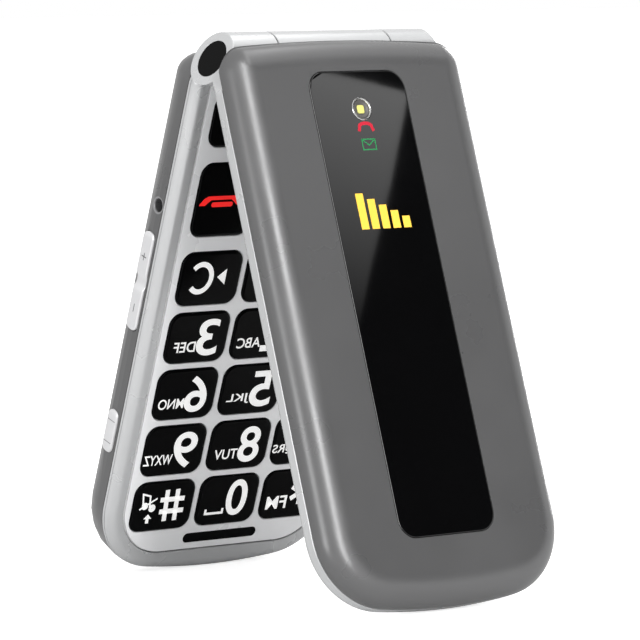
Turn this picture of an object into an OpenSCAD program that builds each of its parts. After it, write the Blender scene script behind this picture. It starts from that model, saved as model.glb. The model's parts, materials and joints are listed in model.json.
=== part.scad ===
// Flip phone standing open like a tent: the hinge at the top, both free ends on the floor.
// The frame: +Z up, the hinge barrel along X, the lid towards -Y and the keypad half towards +Y.
// Each half is drawn flat in its own frame: x across, y towards the hinge (the hinge axis at y = 0),
// z out of the closed phone's parting plane. The lid lies above z = 0 and the keypad half below it.
// A place along a half is given as v, the distance from the hinge axis towards the free end.

/* [Case] */
// Width of the phone
case_w = 55; // [54.5:0.5:62]
// Hinge axis to the lid's free end
half_l = 105.45; // [105:0.25:112]
// How much further the keypad half reaches at its free end
base_extra = 0.3; // [0:0.05:0.5]
// Reach of the lid past the hinge axis
lid_head = 1.5; // [0.8:0.1:2]
// Reach of the keypad half past the hinge axis
base_head = 0; // [-0.4:0.1:0.3]
// Corner radius at the free end
toe_r = 14; // [11:0.5:16]
// Radius of the bowed free end
toe_bow_r = 130; // [110:5:200]
// Corner radius at the hinge end
head_r = 5; // [4:0.25:6]
// Radius of the bowed hinge end
head_bow_r = 320; // [250:10:500]
// Angle between the two halves as the phone stands
open_angle = 37.86; // [30:0.5:46]

/* [Lid] */
// Parting plane to the lid's inner face
lid_face = 0.3; // [0.25:0.05:0.5]
// Height of the silver lid frame
lid_frame_h = 3.3; // [3.2:0.05:3.5]
// Edge radius of the lid frame's inner face
lid_lip_r = 1.8; // [1:0.1:2.2]
// Thickness of the lid frame's floor
lid_floor_t = 1.3; // [1.1:0.05:1.5]
// Thickness of the whole lid
lid_t = 7.85; // [7.6:0.05:8.4]
// Width of the rounded edge of the outer shell
lid_edge_w = 5.8; // [4.5:0.1:6]
// Depth of the rounded edge of the outer shell
lid_edge_h = 4.4; // [3.5:0.1:4.4]
// Wall of the outer shell
lid_wall = 1.4; // [1.2:0.05:1.5]

/* [Outer panel] */
// Width of the glossy panel
panel_w = 22.12; // [20:0.1:26]
// Hinge axis to the panel's upper end
panel_v0 = 5.5; // [5.2:0.1:7]
// Panel's lower end to the lid's free end
panel_margin = 12.6; // [10.5:0.1:17]
// Thickness of the panel
panel_t = 0.8; // [0.6:0.05:0.9]
// Corner radius of the panel
panel_r = 3.6; // [2:0.1:5]
// Hinge axis to the centre of the lamp
lamp_v = 12.67; // [12:0.05:13]
// Outer radius of the lamp's ring
lamp_r = 2.2; // [2:0.05:2.4]
// Width of the lamp's ring
lamp_ring_w = 0.45; // [0.3:0.05:0.6]
// Width of the lamp's emitter
lamp_chip_w = 1.6; // [1.2:0.1:1.9]
// Hinge axis to the centre of the indicator window
window_v = 18.2; // [18:0.05:19]
// Length of the indicator window
window_l = 6; // [5:0.1:6.2]
// Width of the indicator window
window_w = 5; // [4:0.1:6]

/* [Inner screen] */
// Side of the phone to the screen glass
glass_side = 4.5; // [4:0.25:6.5]
// Hinge axis to the upper end of the screen glass
glass_v0 = 12.5; // [12:0.25:14]
// Screen glass's lower end to the lid's free end
glass_margin = 12.95; // [11.5:0.05:15]
// Thickness of the screen glass
glass_t = 0.7; // [0.5:0.05:0.8]
// Side of the phone to the display module
lcd_side = 5.5; // [4.75:0.25:7.5]
// Display module's lower end to the lid's free end
lcd_margin = 25.45; // [23.5:0.05:31]
// Hinge axis to the upper end of the display module
lcd_v0 = 18; // [17:0.25:20]
// Thickness of the display module
lcd_t = 1.8; // [1.5:0.05:2]
// Earpiece to the lid's free end
ear_margin = 17.45; // [16.5:0.05:18.5]
// Size of the earpiece, across, along and deep
ear_size = [15, 6, 2.3];
// Thickness of a circuit board
board_t = 0.8; // [0.6:0.1:1]

/* [Hinge] */
// Radius of the hinge barrel
barrel_r = 4.8; // [4.6:0.05:4.9]
// Side of the phone to the middle knuckle
knuckle_side = 14.5; // [13.5:0.5:16.5]
// Side of the phone to the slanted barrel ends, on the axis
barrel_side = 2; // [2:0.1:2.6]
// Tilt of the slanted barrel ends
end_tilt = 27; // [24:1:30]
// Turn of that tilt about the barrel, from the lid's plane outwards
end_turn = 36; // [0:1:45]
// Radius of the black discs in the barrel ends
disc_r = 3.2; // [2.8:0.05:3.4]
// Depth of the discs below the slanted faces
disc_sink = 0.1; // [0.05:0.05:0.3]
// Radius of the hinge spindle
spindle_r = 1.2; // [1:0.05:1.4]
// Slanted barrel end to the hinge spindle's end, on the axis
spindle_inset = 4.5; // [4:0.25:5]
// Clearance round the barrel
barrel_gap = 0.25; // [0.2:0.05:0.3]

/* [Keypad half] */
// Parting plane to the keypad plate
base_face = 0.5; // [0.4:0.05:0.6]
// Thickness of the keypad half
base_t = 11.2; // [11:0.1:12.5]
// Height of the silver band
band_h = 2.3; // [2.1:0.05:2.4]
// Edge radius of the silver band
band_r = 2.2; // [1.2:0.1:2.2]
// Edge radius of the back
back_r = 7.25; // [6:0.25:7.5]
// Side wall of the rear housing
wall = 1.5; // [1.3:0.05:1.6]
// Back wall of the rear housing
back_wall = 2.1; // [2:0.05:2.3]

/* [Keypad plate] */
// Side of the phone to the keypad plate
plate_side = 3.6; // [3.4:0.05:4]
// Thickness of the keypad plate
plate_t = 1; // [0.8:0.05:1]
// Case end to the keypad plate's lower end
plate_margin = 4.65; // [4.3:0.05:5]
// Width of the groove round the plate
groove = 0.2; // [0.1:0.02:0.25]
// Width of the ledge that carries the plate
ledge = 0.9; // [0.6:0.05:1]
// Corner radius at the plate's lower end
plate_toe_r = 10.3; // [9.8:0.1:11]

/* [Keys] */
// Side of the phone to the outer keys
keys_side = 5.24; // [5:0.02:5.5]
// Hinge axis to the upper end of the keys
keys_v0 = 7.21; // [7.1:0.01:7.5]
// Case end to the bottom row
row_margin = 14.64; // [14.5:0.02:14.8]
// Bars of the plate between two digit keys, across and along
bars = [1.41, 1.45];
// Bottom row to the row above the digits, in rows
clear_rows = 4.0335; // [4.02:0.005:4.05]
// How much longer the keys above the digits are
clear_extra = 0.5; // [0:0.1:0.7]
// Bottom row to the call keys, in rows
call_rows = 5.398; // [5.38:0.005:5.41]
// Length of a call key, in rows
call_len = 1.2532; // [1.2:0.01:1.26]
// Bottom row to the soft keys, in rows
soft_rows = 6.755; // [6.74:0.005:6.77]
// Length of a soft key, in rows
soft_len = 0.8927; // [0.85:0.01:0.9]
// How much narrower than a digit key the call and soft keys are
call_trim = 0.5; // [0.2:0.1:1]
// Size of the middle key in the rocker
ok_w = 8; // [7:0.25:9]
// Corner radius of a key
key_r = 2.4; // [1.5:0.1:3]
// How far the keys stand above the plate
key_proud = 0.3; // [0.1:0.05:0.35]
// Travel of a key
key_travel = 0.35; // [0.2:0.05:0.4]
// Gap round a key
key_gap = 0.15; // [0.1:0.01:0.18]
// Width of the flange under the plate
key_flange = 0.4; // [0.3:0.05:0.42]
// Thickness of that flange
key_flange_t = 0.4; // [0.3:0.05:0.45]
// Swing of a rocker each way
rocker_swing = 1.5; // [1:0.1:1.5]

/* [Side parts] */
// Headset socket past the middle of the call keys
jack_drop = 2.25; // [2:0.05:2.6]
// Depth of the socket's and side keys' middle below the parting plane
jack_z = 4.4; // [4.4:0.05:4.5]
// Radius of the socket's bore
jack_r = 1.25; // [1.1:0.05:1.3]
// Length of the socket's bore
jack_l = 10.5; // [9:0.25:11]
// Size of the volume rocker, along and high
volume_size = [19.7, 3.2];
// Volume rocker past the row above the digits
volume_drop = 1.75; // [1.4:0.05:2]
// Size of the side key, along and high
side_key_size = [7.4, 3];
// Side key ahead of the third row of digits
side_key_rise = 2.96; // [1.5:0.02:3.4]
// Depth of the side keys' middle below the parting plane
side_key_z = 5; // [4.95:0.05:5.1]
// How far the side keys stand out of the wall
side_proud = 0.45; // [0.2:0.05:0.6]
// Travel of the side key
side_travel = 0.4; // [0.3:0.05:0.45]
// Size of the strip over the microphone, across and along
strip_size = [17.4, 2];
// Case end to the strip over the microphone
strip_margin = 7.04; // [6.9:0.02:7.2]

/* [Battery bay] */
// Side of the phone to the battery
battery_side = 10.5; // [10.3:0.1:12]
// Thickness of the battery
battery_t = 3.6; // [3:0.1:3.8]
// Length of the SIM holder
sim_l = 9.6; // [9:0.1:10.5]
// Clearance between the SIM holder and the battery's contacts
sim_gap = 1.65; // [1:0.05:2]
// Clearance round the battery
bay_gap = 0.4; // [0.2:0.05:0.5]
// Wall of the bay
bay_wall = 0.9; // [0.7:0.05:1]
// Case end to the bay's lower end
bay_margin = 10.3; // [10.3:0.1:12]
// Middle of the headset socket to the bay's upper end
bay_drop = 3.98; // [3.9:0.02:4.3]
// Floor of the bay
bay_floor = 0.5; // [0.4:0.05:0.6]
// Side of the phone to the battery cover
cover_side = 5.5; // [5.3:0.1:6]
// Reach of the battery cover past the bay at both ends
cover_lap = 3.25; // [3:0.05:3.5]
// Thickness of the battery cover
cover_t = 1.1; // [0.9:0.05:1.1]
// How far the cover stands out of the back
cover_proud = 0.1; // [0.05:0.05:0.2]
// Gap round the battery cover
cover_gap = 0.12; // [0.08:0.02:0.2]
// Side of the phone to the screws
screw_side = 7.3; // [7.1:0.1:7.5]
// Radius of a screw's shank
screw_r = 0.8; // [0.6:0.05:0.85]
// Radius of a screw's head
screw_head_r = 1.45; // [1.3:0.05:1.5]
// Radius of a screw boss
boss_r = 2.2; // [2:0.05:2.25]

/* [Hidden] */

// Colours
silver = [0.78, 0.79, 0.8];
shell_grey = [0.42, 0.42, 0.43];
gloss_black = [0.03, 0.03, 0.035];
board_green = [0.1, 0.3, 0.2];
steel = [0.6, 0.61, 0.63];
rubber = [0.85, 0.85, 0.82];

// Fineness of round surfaces and of the outline's arcs
$fn = 48;
arc_n = 6;
layer_t = 0.01;
// Least corner radius of an outline that is drawn in
least_r = 0.5;
eps = 0.01;
// Extra depth of a cut past a face
past = 1;

half_w = case_w / 2;
base_l = half_l + base_extra;
panel_v1 = half_l - panel_margin;
glass_w = case_w - 2 * glass_side;
glass_v1 = half_l - glass_margin;
lcd_w = case_w - 2 * lcd_side;
lcd_l = half_l - lcd_margin - lcd_v0;
ear_v = half_l - ear_margin;
knuckle_half = half_w - knuckle_side;
barrel_half = half_w - barrel_side;
spindle_half = barrel_half - spindle_inset;
plate_w = case_w - 2 * plate_side;
screw_x = half_w - screw_side;

// Heights in the lid, measured from the parting plane outwards
lid_floor_z = lid_face + lid_floor_t;
lid_seam_z = lid_face + lid_frame_h;
seam_gap = 0.12;
lid_shell_z = lid_seam_z + seam_gap;
lid_top_z = lid_face + lid_t;
lid_roof_z = lid_top_z - lid_wall;
glass_sink = 0.15;
lid_board_z = lid_floor_z + lcd_t;
lid_board_top_z = lid_board_z + board_t;

// Depths in the keypad half, measured from the parting plane inwards as negative heights
face_z = -base_face;
band_z = face_z - band_h;
back_z = face_z - base_t;
inner_back_z = back_z + back_wall;
plate_under_z = face_z - plate_t;
key_top_z = face_z + key_proud;
flange_gap = 0.25;
key_under_z = plate_under_z - flange_gap - key_flange_t;
mat_gap = 0.1;
mat_z = key_under_z - key_travel - mat_gap;
mat_t = 0.45;
nub_h = 0.2;
dome_gap = 0.05;
dome_h = 0.2;
sheet_t = 0.1;
sheet_z = mat_z - mat_t - nub_h - dome_gap - dome_h;
board_z = sheet_z - sheet_t;
board_under_z = board_z - board_t;
shield_h = 1.4;
bay_floor_z = board_under_z - shield_h - 0.1;
bay_z = bay_floor_z - bay_floor;
cover_z = back_z + cover_t - cover_proud;

// Places along the keypad half
strip_v = base_l - strip_margin;
pitch_x = (half_w - keys_side + bars[0] / 2) / 1.5;
pitch_v = (base_l - row_margin - keys_v0) / (soft_rows + soft_len / 2);
digit_size = [pitch_x - bars[0], pitch_v - bars[1]];
clear_size = [digit_size[0], digit_size[1] + clear_extra];
call_size = [digit_size[0] - call_trim, call_len * pitch_v];
soft_size = [digit_size[0] - call_trim, soft_len * pitch_v];
nav_w = digit_size[0];
row_v = [for (i = [0:3]) base_l - row_margin - (3 - i) * pitch_v];
clear_v = base_l - row_margin - clear_rows * pitch_v;
call_v = base_l - row_margin - call_rows * pitch_v;
soft_v = base_l - row_margin - soft_rows * pitch_v;
jack_v = call_v + jack_drop;
volume_v = clear_v + volume_drop;
side_key_v = row_v[2] - side_key_rise;
nav_v0 = soft_v - soft_size[1] / 2;
nav_v1 = call_v + call_size[1] / 2;
nav_v = (nav_v0 + nav_v1) / 2;
nav_l = nav_v1 - nav_v0;
plate_v1 = base_l - plate_margin;
plate_head_r = 2;
plate_v0 = nav_v0 - 3.1;
bay_v1 = base_l - bay_margin;
bay_v0 = jack_v + bay_drop;
bay_l = bay_v1 - bay_v0;
sim_lead = 1;
contacts_gap = 0.35;
contacts_l = 2;
contact_pitch = 4;
battery_l = bay_l - sim_lead - sim_l - sim_gap - contacts_l - contacts_gap - bay_gap;
battery_w = case_w - 2 * battery_side;
bay_half = battery_w / 2 + bay_gap;
cover_w = case_w - 2 * cover_side;
cover_l = bay_l + 2 * cover_lap;
cover_v = (bay_v0 + bay_v1) / 2;
screw_v = [row_v[0] - pitch_v * 1.71, (row_v[0] + row_v[1]) / 2, (row_v[2] + row_v[3]) / 2];
board_side = 7.7;
board_half = half_w - board_side;
board_end_v = base_l - 5.3;

// The keys: name, column, place along the half, size. The pusher of a call key sits high.
KEYS = [
    ["soft_left", -1, soft_v, soft_size, 0],
    ["soft_right", 1, soft_v, soft_size, 0],
    ["end_key", -1, call_v, call_size, -3.4],
    ["call_key", 1, call_v, call_size, -3.4],
    ["clear_key", -1, clear_v, clear_size, 0],
    ["menu_key", 0, clear_v, clear_size, 0],
    ["message_key", 1, clear_v, clear_size, 0],
    ["key_3", -1, row_v[0], digit_size, 0],
    ["key_2", 0, row_v[0], digit_size, 0],
    ["key_1", 1, row_v[0], digit_size, 0],
    ["key_6", -1, row_v[1], digit_size, 0],
    ["key_5", 0, row_v[1], digit_size, 0],
    ["key_4", 1, row_v[1], digit_size, 0],
    ["key_9", -1, row_v[2], digit_size, 0],
    ["key_8", 0, row_v[2], digit_size, 0],
    ["key_7", 1, row_v[2], digit_size, 0],
    ["key_hash", -1, row_v[3], digit_size, 0],
    ["key_0", 0, row_v[3], digit_size, 0],
    ["key_star", 1, row_v[3], digit_size, 0]
];

// Tent pose: the lean of the lid at which both rounded free ends touch the floor
foot_a = half_l - lid_lip_r;
foot_b = lid_face + lid_lip_r;
foot_c = base_l - band_r;
foot_d = base_face + band_r;
lean_p = foot_a - foot_c * cos(open_angle) + foot_d * sin(open_angle);
lean_q = -foot_b - foot_c * sin(open_angle) - foot_d * cos(open_angle);
lid_lean = atan2(lean_q, lean_p) + acos((band_r - lid_lip_r) / norm([lean_p, lean_q]));
base_lean = open_angle - lid_lean;
hinge_h = foot_a * cos(lid_lean) - foot_b * sin(lid_lean) + lid_lip_r;

// The hinge stands so that the whole phone is centred front to back
lid_reach = (half_l - lid_edge_w) * sin(lid_lean) + (lid_top_z - lid_edge_h) * cos(lid_lean)
    + norm([lid_edge_w * sin(lid_lean), lid_edge_h * cos(lid_lean)]);
base_reach = (base_l - back_r) * sin(base_lean) + (-back_z - back_r) * cos(base_lean) + back_r;
hinge_y = (lid_reach - base_reach) / 2;

module on_lid() {
    translate([0, hinge_y, hinge_h]) rotate([90 - lid_lean, 0, 0]) children();
}

module on_base() {
    translate([0, hinge_y, hinge_h]) rotate([90 + base_lean, 0, 0]) children();
}

// Points of an arc round a centre
function arc(cx, cy, r, a0, a1, n = arc_n) =
    [for (i = [0:n]) let (a = a0 + (a1 - a0) * i / n) [cx + r * cos(a), cy + r * sin(a)]];

// Right half of a bowed end that runs into a round corner: apex on the middle line at y = 0,
// the bow bulging towards +y
function bow(w, bow_r, r) =
    let (
        cx = w - r,
        cy = sqrt(pow(bow_r - r, 2) - cx * cx) - bow_r,
        a = atan2(cy + bow_r, cx)
    )
    concat(arc(0, -bow_r, bow_r, 90, a, 4), [for (i = [1:arc_n]) arc(cx, cy, r, a, 0)[i]]);

// Outline of a half of length l, drawn in by inset: head = reach past the hinge axis
function outline(head, l, inset) =
    let (
        w = half_w - inset,
        top = bow(w, head_bow_r - inset, max(head_r - inset, least_r)),
        toe = bow(w, toe_bow_r - inset, max(toe_r - inset, least_r)),
        n = len(toe),
        right = concat(
            [for (p = top) [p[0], p[1] + head - inset]],
            [for (i = [n - 1:-1:0]) [toe[i][0], inset - l - toe[i][1]]]
        ),
        m = len(right)
    )
    concat(right, [for (i = [m - 2:-1:1]) [-right[i][0], right[i][1]]]);

// Rectangle with round corners
function rounded(w, l, r) = concat(
    arc(w / 2 - r, l / 2 - r, r, 0, 90),
    arc(r - w / 2, l / 2 - r, r, 90, 180),
    arc(r - w / 2, r - l / 2, r, 180, 270),
    arc(w / 2 - r, r - l / 2, r, 270, 360)
);

// Flat piece of a half's outline
module case_plate(head, l, inset, z_lo, z_hi) {
    translate([0, 0, z_lo]) linear_extrude(z_hi - z_lo) polygon(outline(head, l, inset));
}

// Slab of a half's outline with one edge rounded by a quarter ellipse, w wide and h high
module case_slab(head, l, z_lo, z_hi, w, h, top) {
    hull() {
        case_plate(head, l, 0, top ? z_lo : z_lo + h, top ? z_hi - h : z_hi);
        for (a = [15:15:90]) {
            drop = h * (1 - sin(a));
            z = top ? z_hi - drop - layer_t : z_lo + drop;
            case_plate(head, l, w * (1 - cos(a)), z, z + layer_t);
        }
    }
}

// Round-cornered slab centred on a place of a half
module pad(x, v, w, l, r, z_lo, z_hi) {
    translate([x, -v, z_lo]) linear_extrude(z_hi - z_lo) polygon(rounded(w, l, r));
}

// Block centred on a place of a half
module block(x, v, w, l, z_lo, z_hi) {
    translate([x - w / 2, -v - l / 2, z_lo]) cube([w, l, z_hi - z_lo]);
}

module post(x, v, r, z_lo, z_hi) {
    translate([x, -v, z_lo]) cylinder(r = r, h = z_hi - z_lo);
}

// Cylinder on the hinge axis, its first facet on the side away from both halves
module axle(r, x0, x1) {
    translate([x0, 0, 0]) rotate([0, 90, 0]) rotate([0, 0, 90]) cylinder(r = r, h = x1 - x0);
}

// Round-cornered piece in the wall on the -X side: along v, high z, from x0 to x1
module side_pad(v, z, l, h, r, x0, x1) {
    translate([x0, -v, -z]) rotate([90, 0, 90]) linear_extrude(x1 - x0) polygon(rounded(l, h, r));
}

// What lies beyond a slanted barrel end, sink = how far inside the slanted face
module beyond_end(side, sink) {
    reach = 2 * barrel_half;
    translate([side * (barrel_half - sink), 0, 0]) rotate([end_turn, 0, 0]) rotate([0, 0, side * end_tilt])
        translate([side > 0 ? 0 : -reach, -reach / 2, -reach / 2]) cube(reach);
}

// ---- keypad half ----

// Keypad plate's outline, grown by g, with corner radius r at the free end
module plate_form(g, z_lo, z_hi, r) {
    w = plate_w + 2 * g;
    l = plate_v1 - plate_v0 + 2 * g;
    pad(0, (plate_v0 + plate_v1) / 2, w, l, r, z_lo, z_hi);
    pad(0, plate_v0 - g + l / 4, w, l / 2, plate_head_r + g, z_lo, z_hi);
}

// The opening under the plate, with the plate's ledge left round it
module plate_well(g, z_lo, z_hi) {
    plate_form(-ledge - g, z_lo, z_hi, plate_toe_r - 3 * ledge - g);
}

module screw_ribs() {
    rib_w = half_w - screw_x - (half_w - plate_w / 2) / 2;
    for (s = [-1, 1], v = screw_v) {
        block(s * (screw_x + rib_w / 2), v, rib_w, 2 * boss_r, board_z + 0.4, band_z);
        post(s * screw_x, v, boss_r, board_z + 0.15, band_z);
    }
}

module knuckle_room(r, half) {
    axle(r, -half, half);
}

neck_gap = 0.81;
neck_l = nav_v0 - neck_gap;

module mid_frame() {
    color(silver) on_base() difference() {
        union() {
            difference() {
                case_slab(base_head, base_l, band_z, face_z, band_r, band_r, true);
                plate_form(groove, plate_under_z, face_z + past, plate_toe_r + groove);
                plate_well(0, band_z - past, face_z + past);
                knuckle_room(barrel_r + barrel_gap, case_w);
            }
            axle(barrel_r, -knuckle_half, knuckle_half);
            block(0, neck_l / 2, 2 * knuckle_half, neck_l, band_z, face_z);
            screw_ribs();
        }
        axle(spindle_r, -knuckle_half - past, knuckle_half + past);
        axle(flex_bore_r, -flex_half, flex_half);
        block(0, 3, flex_w + 0.6, 8, -flex_bore_r, -flex_bore_r + 1.5);
        for (s = [-1, 1], v = screw_v) post(s * screw_x, v, screw_r, board_z, band_z + past);
    }
}

module keypad_plate() {
    color(silver) on_base() difference() {
        plate_form(0, plate_under_z, face_z, plate_toe_r);
        knuckle_room(barrel_r + barrel_gap, case_w);
        block(0, neck_l / 2, 2 * knuckle_half + 2 * groove, neck_l + 2 * groove,
            plate_under_z - past, face_z + past);
        for (k = KEYS) pad(k[1] * pitch_x, k[2], k[3][0] + 2 * key_gap, k[3][1] + 2 * key_gap,
            key_r + key_gap, plate_under_z - past, face_z + past);
        pad(0, nav_v, nav_w + 2 * key_gap, nav_l + 2 * key_gap, key_r + key_gap,
            plate_under_z - past, face_z + past);
        pad(0, strip_v, strip_size[0], strip_size[1], strip_size[1] / 2 - eps,
            plate_under_z - past, face_z + past);
    }
}

// A key with the flange that holds it under the plate
module key_cap(k) {
    x = k[1] * pitch_x;
    color(gloss_black) on_base() {
        pad(x, k[2], k[3][0], k[3][1], key_r, key_under_z, key_top_z);
        pad(x, k[2], k[3][0] + 2 * key_flange, k[3][1] + 2 * key_flange, key_r + key_flange,
            key_under_z, key_under_z + key_flange_t);
    }
}

nav_under_z = plate_under_z - flange_gap;
nav_flange_l = 8;

module nav_rocker() {
    color(gloss_black) on_base() difference() {
        union() {
            pad(0, nav_v, nav_w, nav_l, key_r, nav_under_z, key_top_z);
            pad(0, nav_v, nav_w + 2 * key_flange, nav_flange_l, key_r, key_under_z,
                key_under_z + key_flange_t);
            pad(0, nav_v, nav_w - 2 * key_flange, nav_flange_l, key_r, key_under_z, nav_under_z);
        }
        pad(0, nav_v, ok_w + 4 * key_gap, ok_w + 4 * key_gap, key_r + 2 * key_gap,
            key_under_z - past, key_top_z + past);
    }
}

module ok_key() {
    color(silver) on_base() pad(0, nav_v, ok_w, ok_w, key_r, key_under_z, key_top_z + 0.1);
}

mat_v0 = plate_v0 + 3.1;
mat_v1 = strip_v - 1.7;
jack_box = 3.8;
jack_notch = 0.2;

// Room for the headset socket in a layer
module jack_room() {
    l = jack_box + 2 * jack_notch;
    block(-half_w, jack_v, 2 * (jack_l + wall + 0.9), l, board_under_z - past, 0);
}

module screw_room() {
    for (s = [-1, 1], v = screw_v)
        block(s * half_w, v, 2 * (half_w - screw_x + boss_r + 0.1), 2 * boss_r + 0.2,
            board_under_z - past, 0);
}

function pushers() = concat(
    [for (k = KEYS) [k[1] * pitch_x, k[2] + k[4]]],
    [[0, nav_v], [0, nav_v0 + 4], [0, nav_v1 - 4]]
);

module keymat() {
    color(rubber) on_base() {
        difference() {
            intersection() {
                plate_well(0.1, mat_z - mat_t, mat_z);
                block(0, (mat_v0 + mat_v1) / 2, case_w, mat_v1 - mat_v0, mat_z - past, mat_z + past);
            }
            jack_room();
            screw_room();
        }
        for (p = pushers()) post(p[0], p[1], 1.2, mat_z - mat_t - nub_h, mat_z - mat_t);
    }
}

module dome_sheet() {
    dome_r = 2.8;
    color(steel) on_base() {
        difference() {
            pad(0, (mat_v0 + mat_v1) / 2, 2 * board_half - 1, mat_v1 - mat_v0, 2, board_z, sheet_z);
            jack_room();
            screw_room();
        }
        for (p = pushers()) translate([p[0], -p[1], sheet_z])
            cylinder(r1 = dome_r, r2 = dome_r * 0.6, h = dome_h);
    }
}

ear_w = 4;
ear_len = 16;

module main_board() {
    color(board_green) on_base() difference() {
        union() {
            pad(0, (mat_v0 + board_end_v) / 2, 2 * board_half, board_end_v - mat_v0, 2,
                board_under_z, board_z);
            block(-board_half - ear_w / 2 + eps, volume_v, ear_w, ear_len, board_under_z, board_z);
            block(-board_half - ear_w / 2 + eps, side_key_v, ear_w, 6, board_under_z, board_z);
        }
        jack_room();
        for (s = [-1, 1], v = screw_v)
            post(s * screw_x, v, boss_r + 0.1, board_under_z - past, board_z + past);
    }
}

can_lead = 2;
can_space = 4;
can_tail = 7;

module shield_cans() {
    w = 2 * bay_half - 3;
    l = (bay_l - can_lead - can_space - can_tail) / 2;
    color(steel) on_base() for (v = [bay_v0 + can_lead + l / 2, bay_v1 - can_tail - l / 2])
        pad(0, v, w, l, 0.8, board_under_z - shield_h, board_under_z);
}

battery_v = bay_v1 - bay_gap - battery_l / 2;

module battery() {
    color([0.2, 0.2, 0.22]) on_base() difference() {
        pad(0, battery_v, battery_w, battery_l, 1.2,
            bay_z - battery_t, bay_z);
        for (i = [-1:1])
            block(i * contact_pitch, battery_v - battery_l / 2, 2, 1, bay_z - 2.6, bay_z - 0.8);
    }
}

module battery_contacts() {
    v = battery_v - battery_l / 2 - contacts_l / 2 - contacts_gap;
    color([0.1, 0.1, 0.1]) on_base() {
        block(0, v, 3 * contact_pitch + 1, contacts_l, bay_z - 3.2, bay_z);
        for (i = [-1:1]) block(i * contact_pitch, v + contacts_l / 2, 1.2, 0.5, bay_z - 2.2, bay_z - 1.2);
    }
}

module sim_holder() {
    w = 15;
    l = sim_l;
    t = 1.5;
    v = bay_v0 + sim_lead + l / 2;
    color(steel) on_base() difference() {
        pad(0, v, w, l, 0.6, bay_z - t, bay_z);
        block(0, v - 1, 12.4, l, bay_z - 1.1, bay_z - 0.2);
        pad(0, v, 8, 5, 1, bay_z - t - past, bay_z - 1);
    }
}

// Hole through the back wall or a side wall for one part each
module grille_slots() {
    for (x = [-6:2:6]) pad(x, speaker_v, 0.9, 8 - abs(x) * 0.5, 0.44, back_z - past, inner_back_z + past);
}

speaker_v = 13.5;
speaker_size = [18, 12, 3.2];

module bay_walls() {
    outer_half = bay_half + bay_wall;
    difference() {
        block(0, (bay_v0 + bay_v1) / 2, 2 * outer_half, bay_l + 2 * bay_wall, back_z + 1, board_under_z);
        block(0, (bay_v0 + bay_v1) / 2, 2 * bay_half, bay_l, bay_floor_z, board_under_z + past);
    }
}

// Hollow of the rear housing, round the bay, the screw bosses and the wall behind the barrel
module rear_hollow(ring) {
    step_z = inner_back_z + 2 * wall - 0.9;
    difference() {
        union() {
            case_plate(base_head, base_l, wall, step_z, band_z + past);
            case_plate(base_head, base_l, 2 * wall, inner_back_z, step_z + eps);
        }
        axle(ring + wall, -case_w, case_w);
        bay_walls();
        for (s = [-1, 1], v = screw_v)
            post(s * screw_x, v, boss_r, inner_back_z - past, board_z + 0.15);
    }
}

module rear_housing() {
    ring = barrel_r + barrel_gap;
    color(shell_grey) on_base() difference() {
        case_slab(base_head, base_l, back_z, band_z, back_r, back_r, false);
        rear_hollow(ring);
        knuckle_room(ring, case_w);
        block(0, (bay_v0 + bay_v1) / 2, 2 * bay_half, bay_l, back_z - past, bay_z);
        pad(0, cover_v, cover_w + 2 * cover_gap, cover_l + 2 * cover_gap,
            6 + cover_gap, back_z - past, cover_z);
        for (s = [-1, 1], v = screw_v) {
            post(s * screw_x, v, screw_r, cover_z, board_z + past);
            post(s * screw_x, v, screw_head_r + 0.1, cover_z - past, cover_z + screw_head_t);
        }
        grille_slots();
        translate([-case_w, -jack_v, -jack_z]) rotate([0, 90, 0])
            cylinder(r = jack_r + 0.25, h = half_w + wall + 1);
        block(0, ring + (wall - 1) / 2, flex_w + 0.6, wall + 2, -flex_bore_r - 0.1, band_z + past);
        side_slot(volume_v, volume_size);
        side_slot(side_key_v, side_key_size);
        block(0, base_l, usb_size[0] + 0.2, 8, usb_z - usb_size[1] - 0.1, board_under_z + 0.1);
    }
}

screw_head_t = 0.7;

module side_slot(v, size) {
    g = 2 * key_gap;
    side_pad(v, side_key_z, size[0] + g, size[1] + g, size[1] / 2 - 0.2,
        -half_w - past, -half_w + wall + 1.5);
}

// A key in the side wall: the part that shows and the flange inside the wall
module side_body(v, size, flange_l) {
    flange_t = 0.5;
    side_pad(v, side_key_z, size[0], size[1], size[1] / 2 - 0.3, -half_w - side_proud, -half_w + wall + 0.4);
    side_pad(v, side_key_z, flange_l, size[1] + 1.1, 0.5,
        -half_w + wall + 0.3, -half_w + wall + 0.3 + flange_t);
}

module volume_rocker() {
    color(silver) on_base() side_body(volume_v, volume_size, 7);
}

module side_key() {
    color(silver) on_base() side_body(side_key_v, side_key_size, side_key_size[0] + 1.1);
}

switch_x0 = -half_w + wall + 0.3 + 0.5 + side_travel + 0.2;

module side_switches() {
    h = 1.8;
    color([0.15, 0.15, 0.15]) on_base()
        for (v = [volume_v - 5, volume_v + 5, side_key_v])
            block(switch_x0 + 1.6, v, 3.2, 4, board_under_z - h, board_under_z);
}

module headset_jack() {
    h = 2 * (jack_z + band_z - 0.05);
    color([0.06, 0.06, 0.06]) on_base() difference() {
        union() {
            block(-half_w + wall + 0.2 + (jack_l - wall) / 2 + 0.4, jack_v, jack_l - wall + 0.8, jack_box,
                -jack_z - h / 2, -jack_z + h / 2);
            translate([-half_w + 0.25, -jack_v, -jack_z]) rotate([0, 90, 0])
                cylinder(r = jack_r + 0.2, h = wall + 1);
        }
        translate([-half_w - past, -jack_v, -jack_z]) rotate([0, 90, 0])
            cylinder(r = jack_r, h = past + 0.25 + jack_l);
    }
}

usb_size = [7.9, 2.7];
usb_z = board_under_z;

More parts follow.
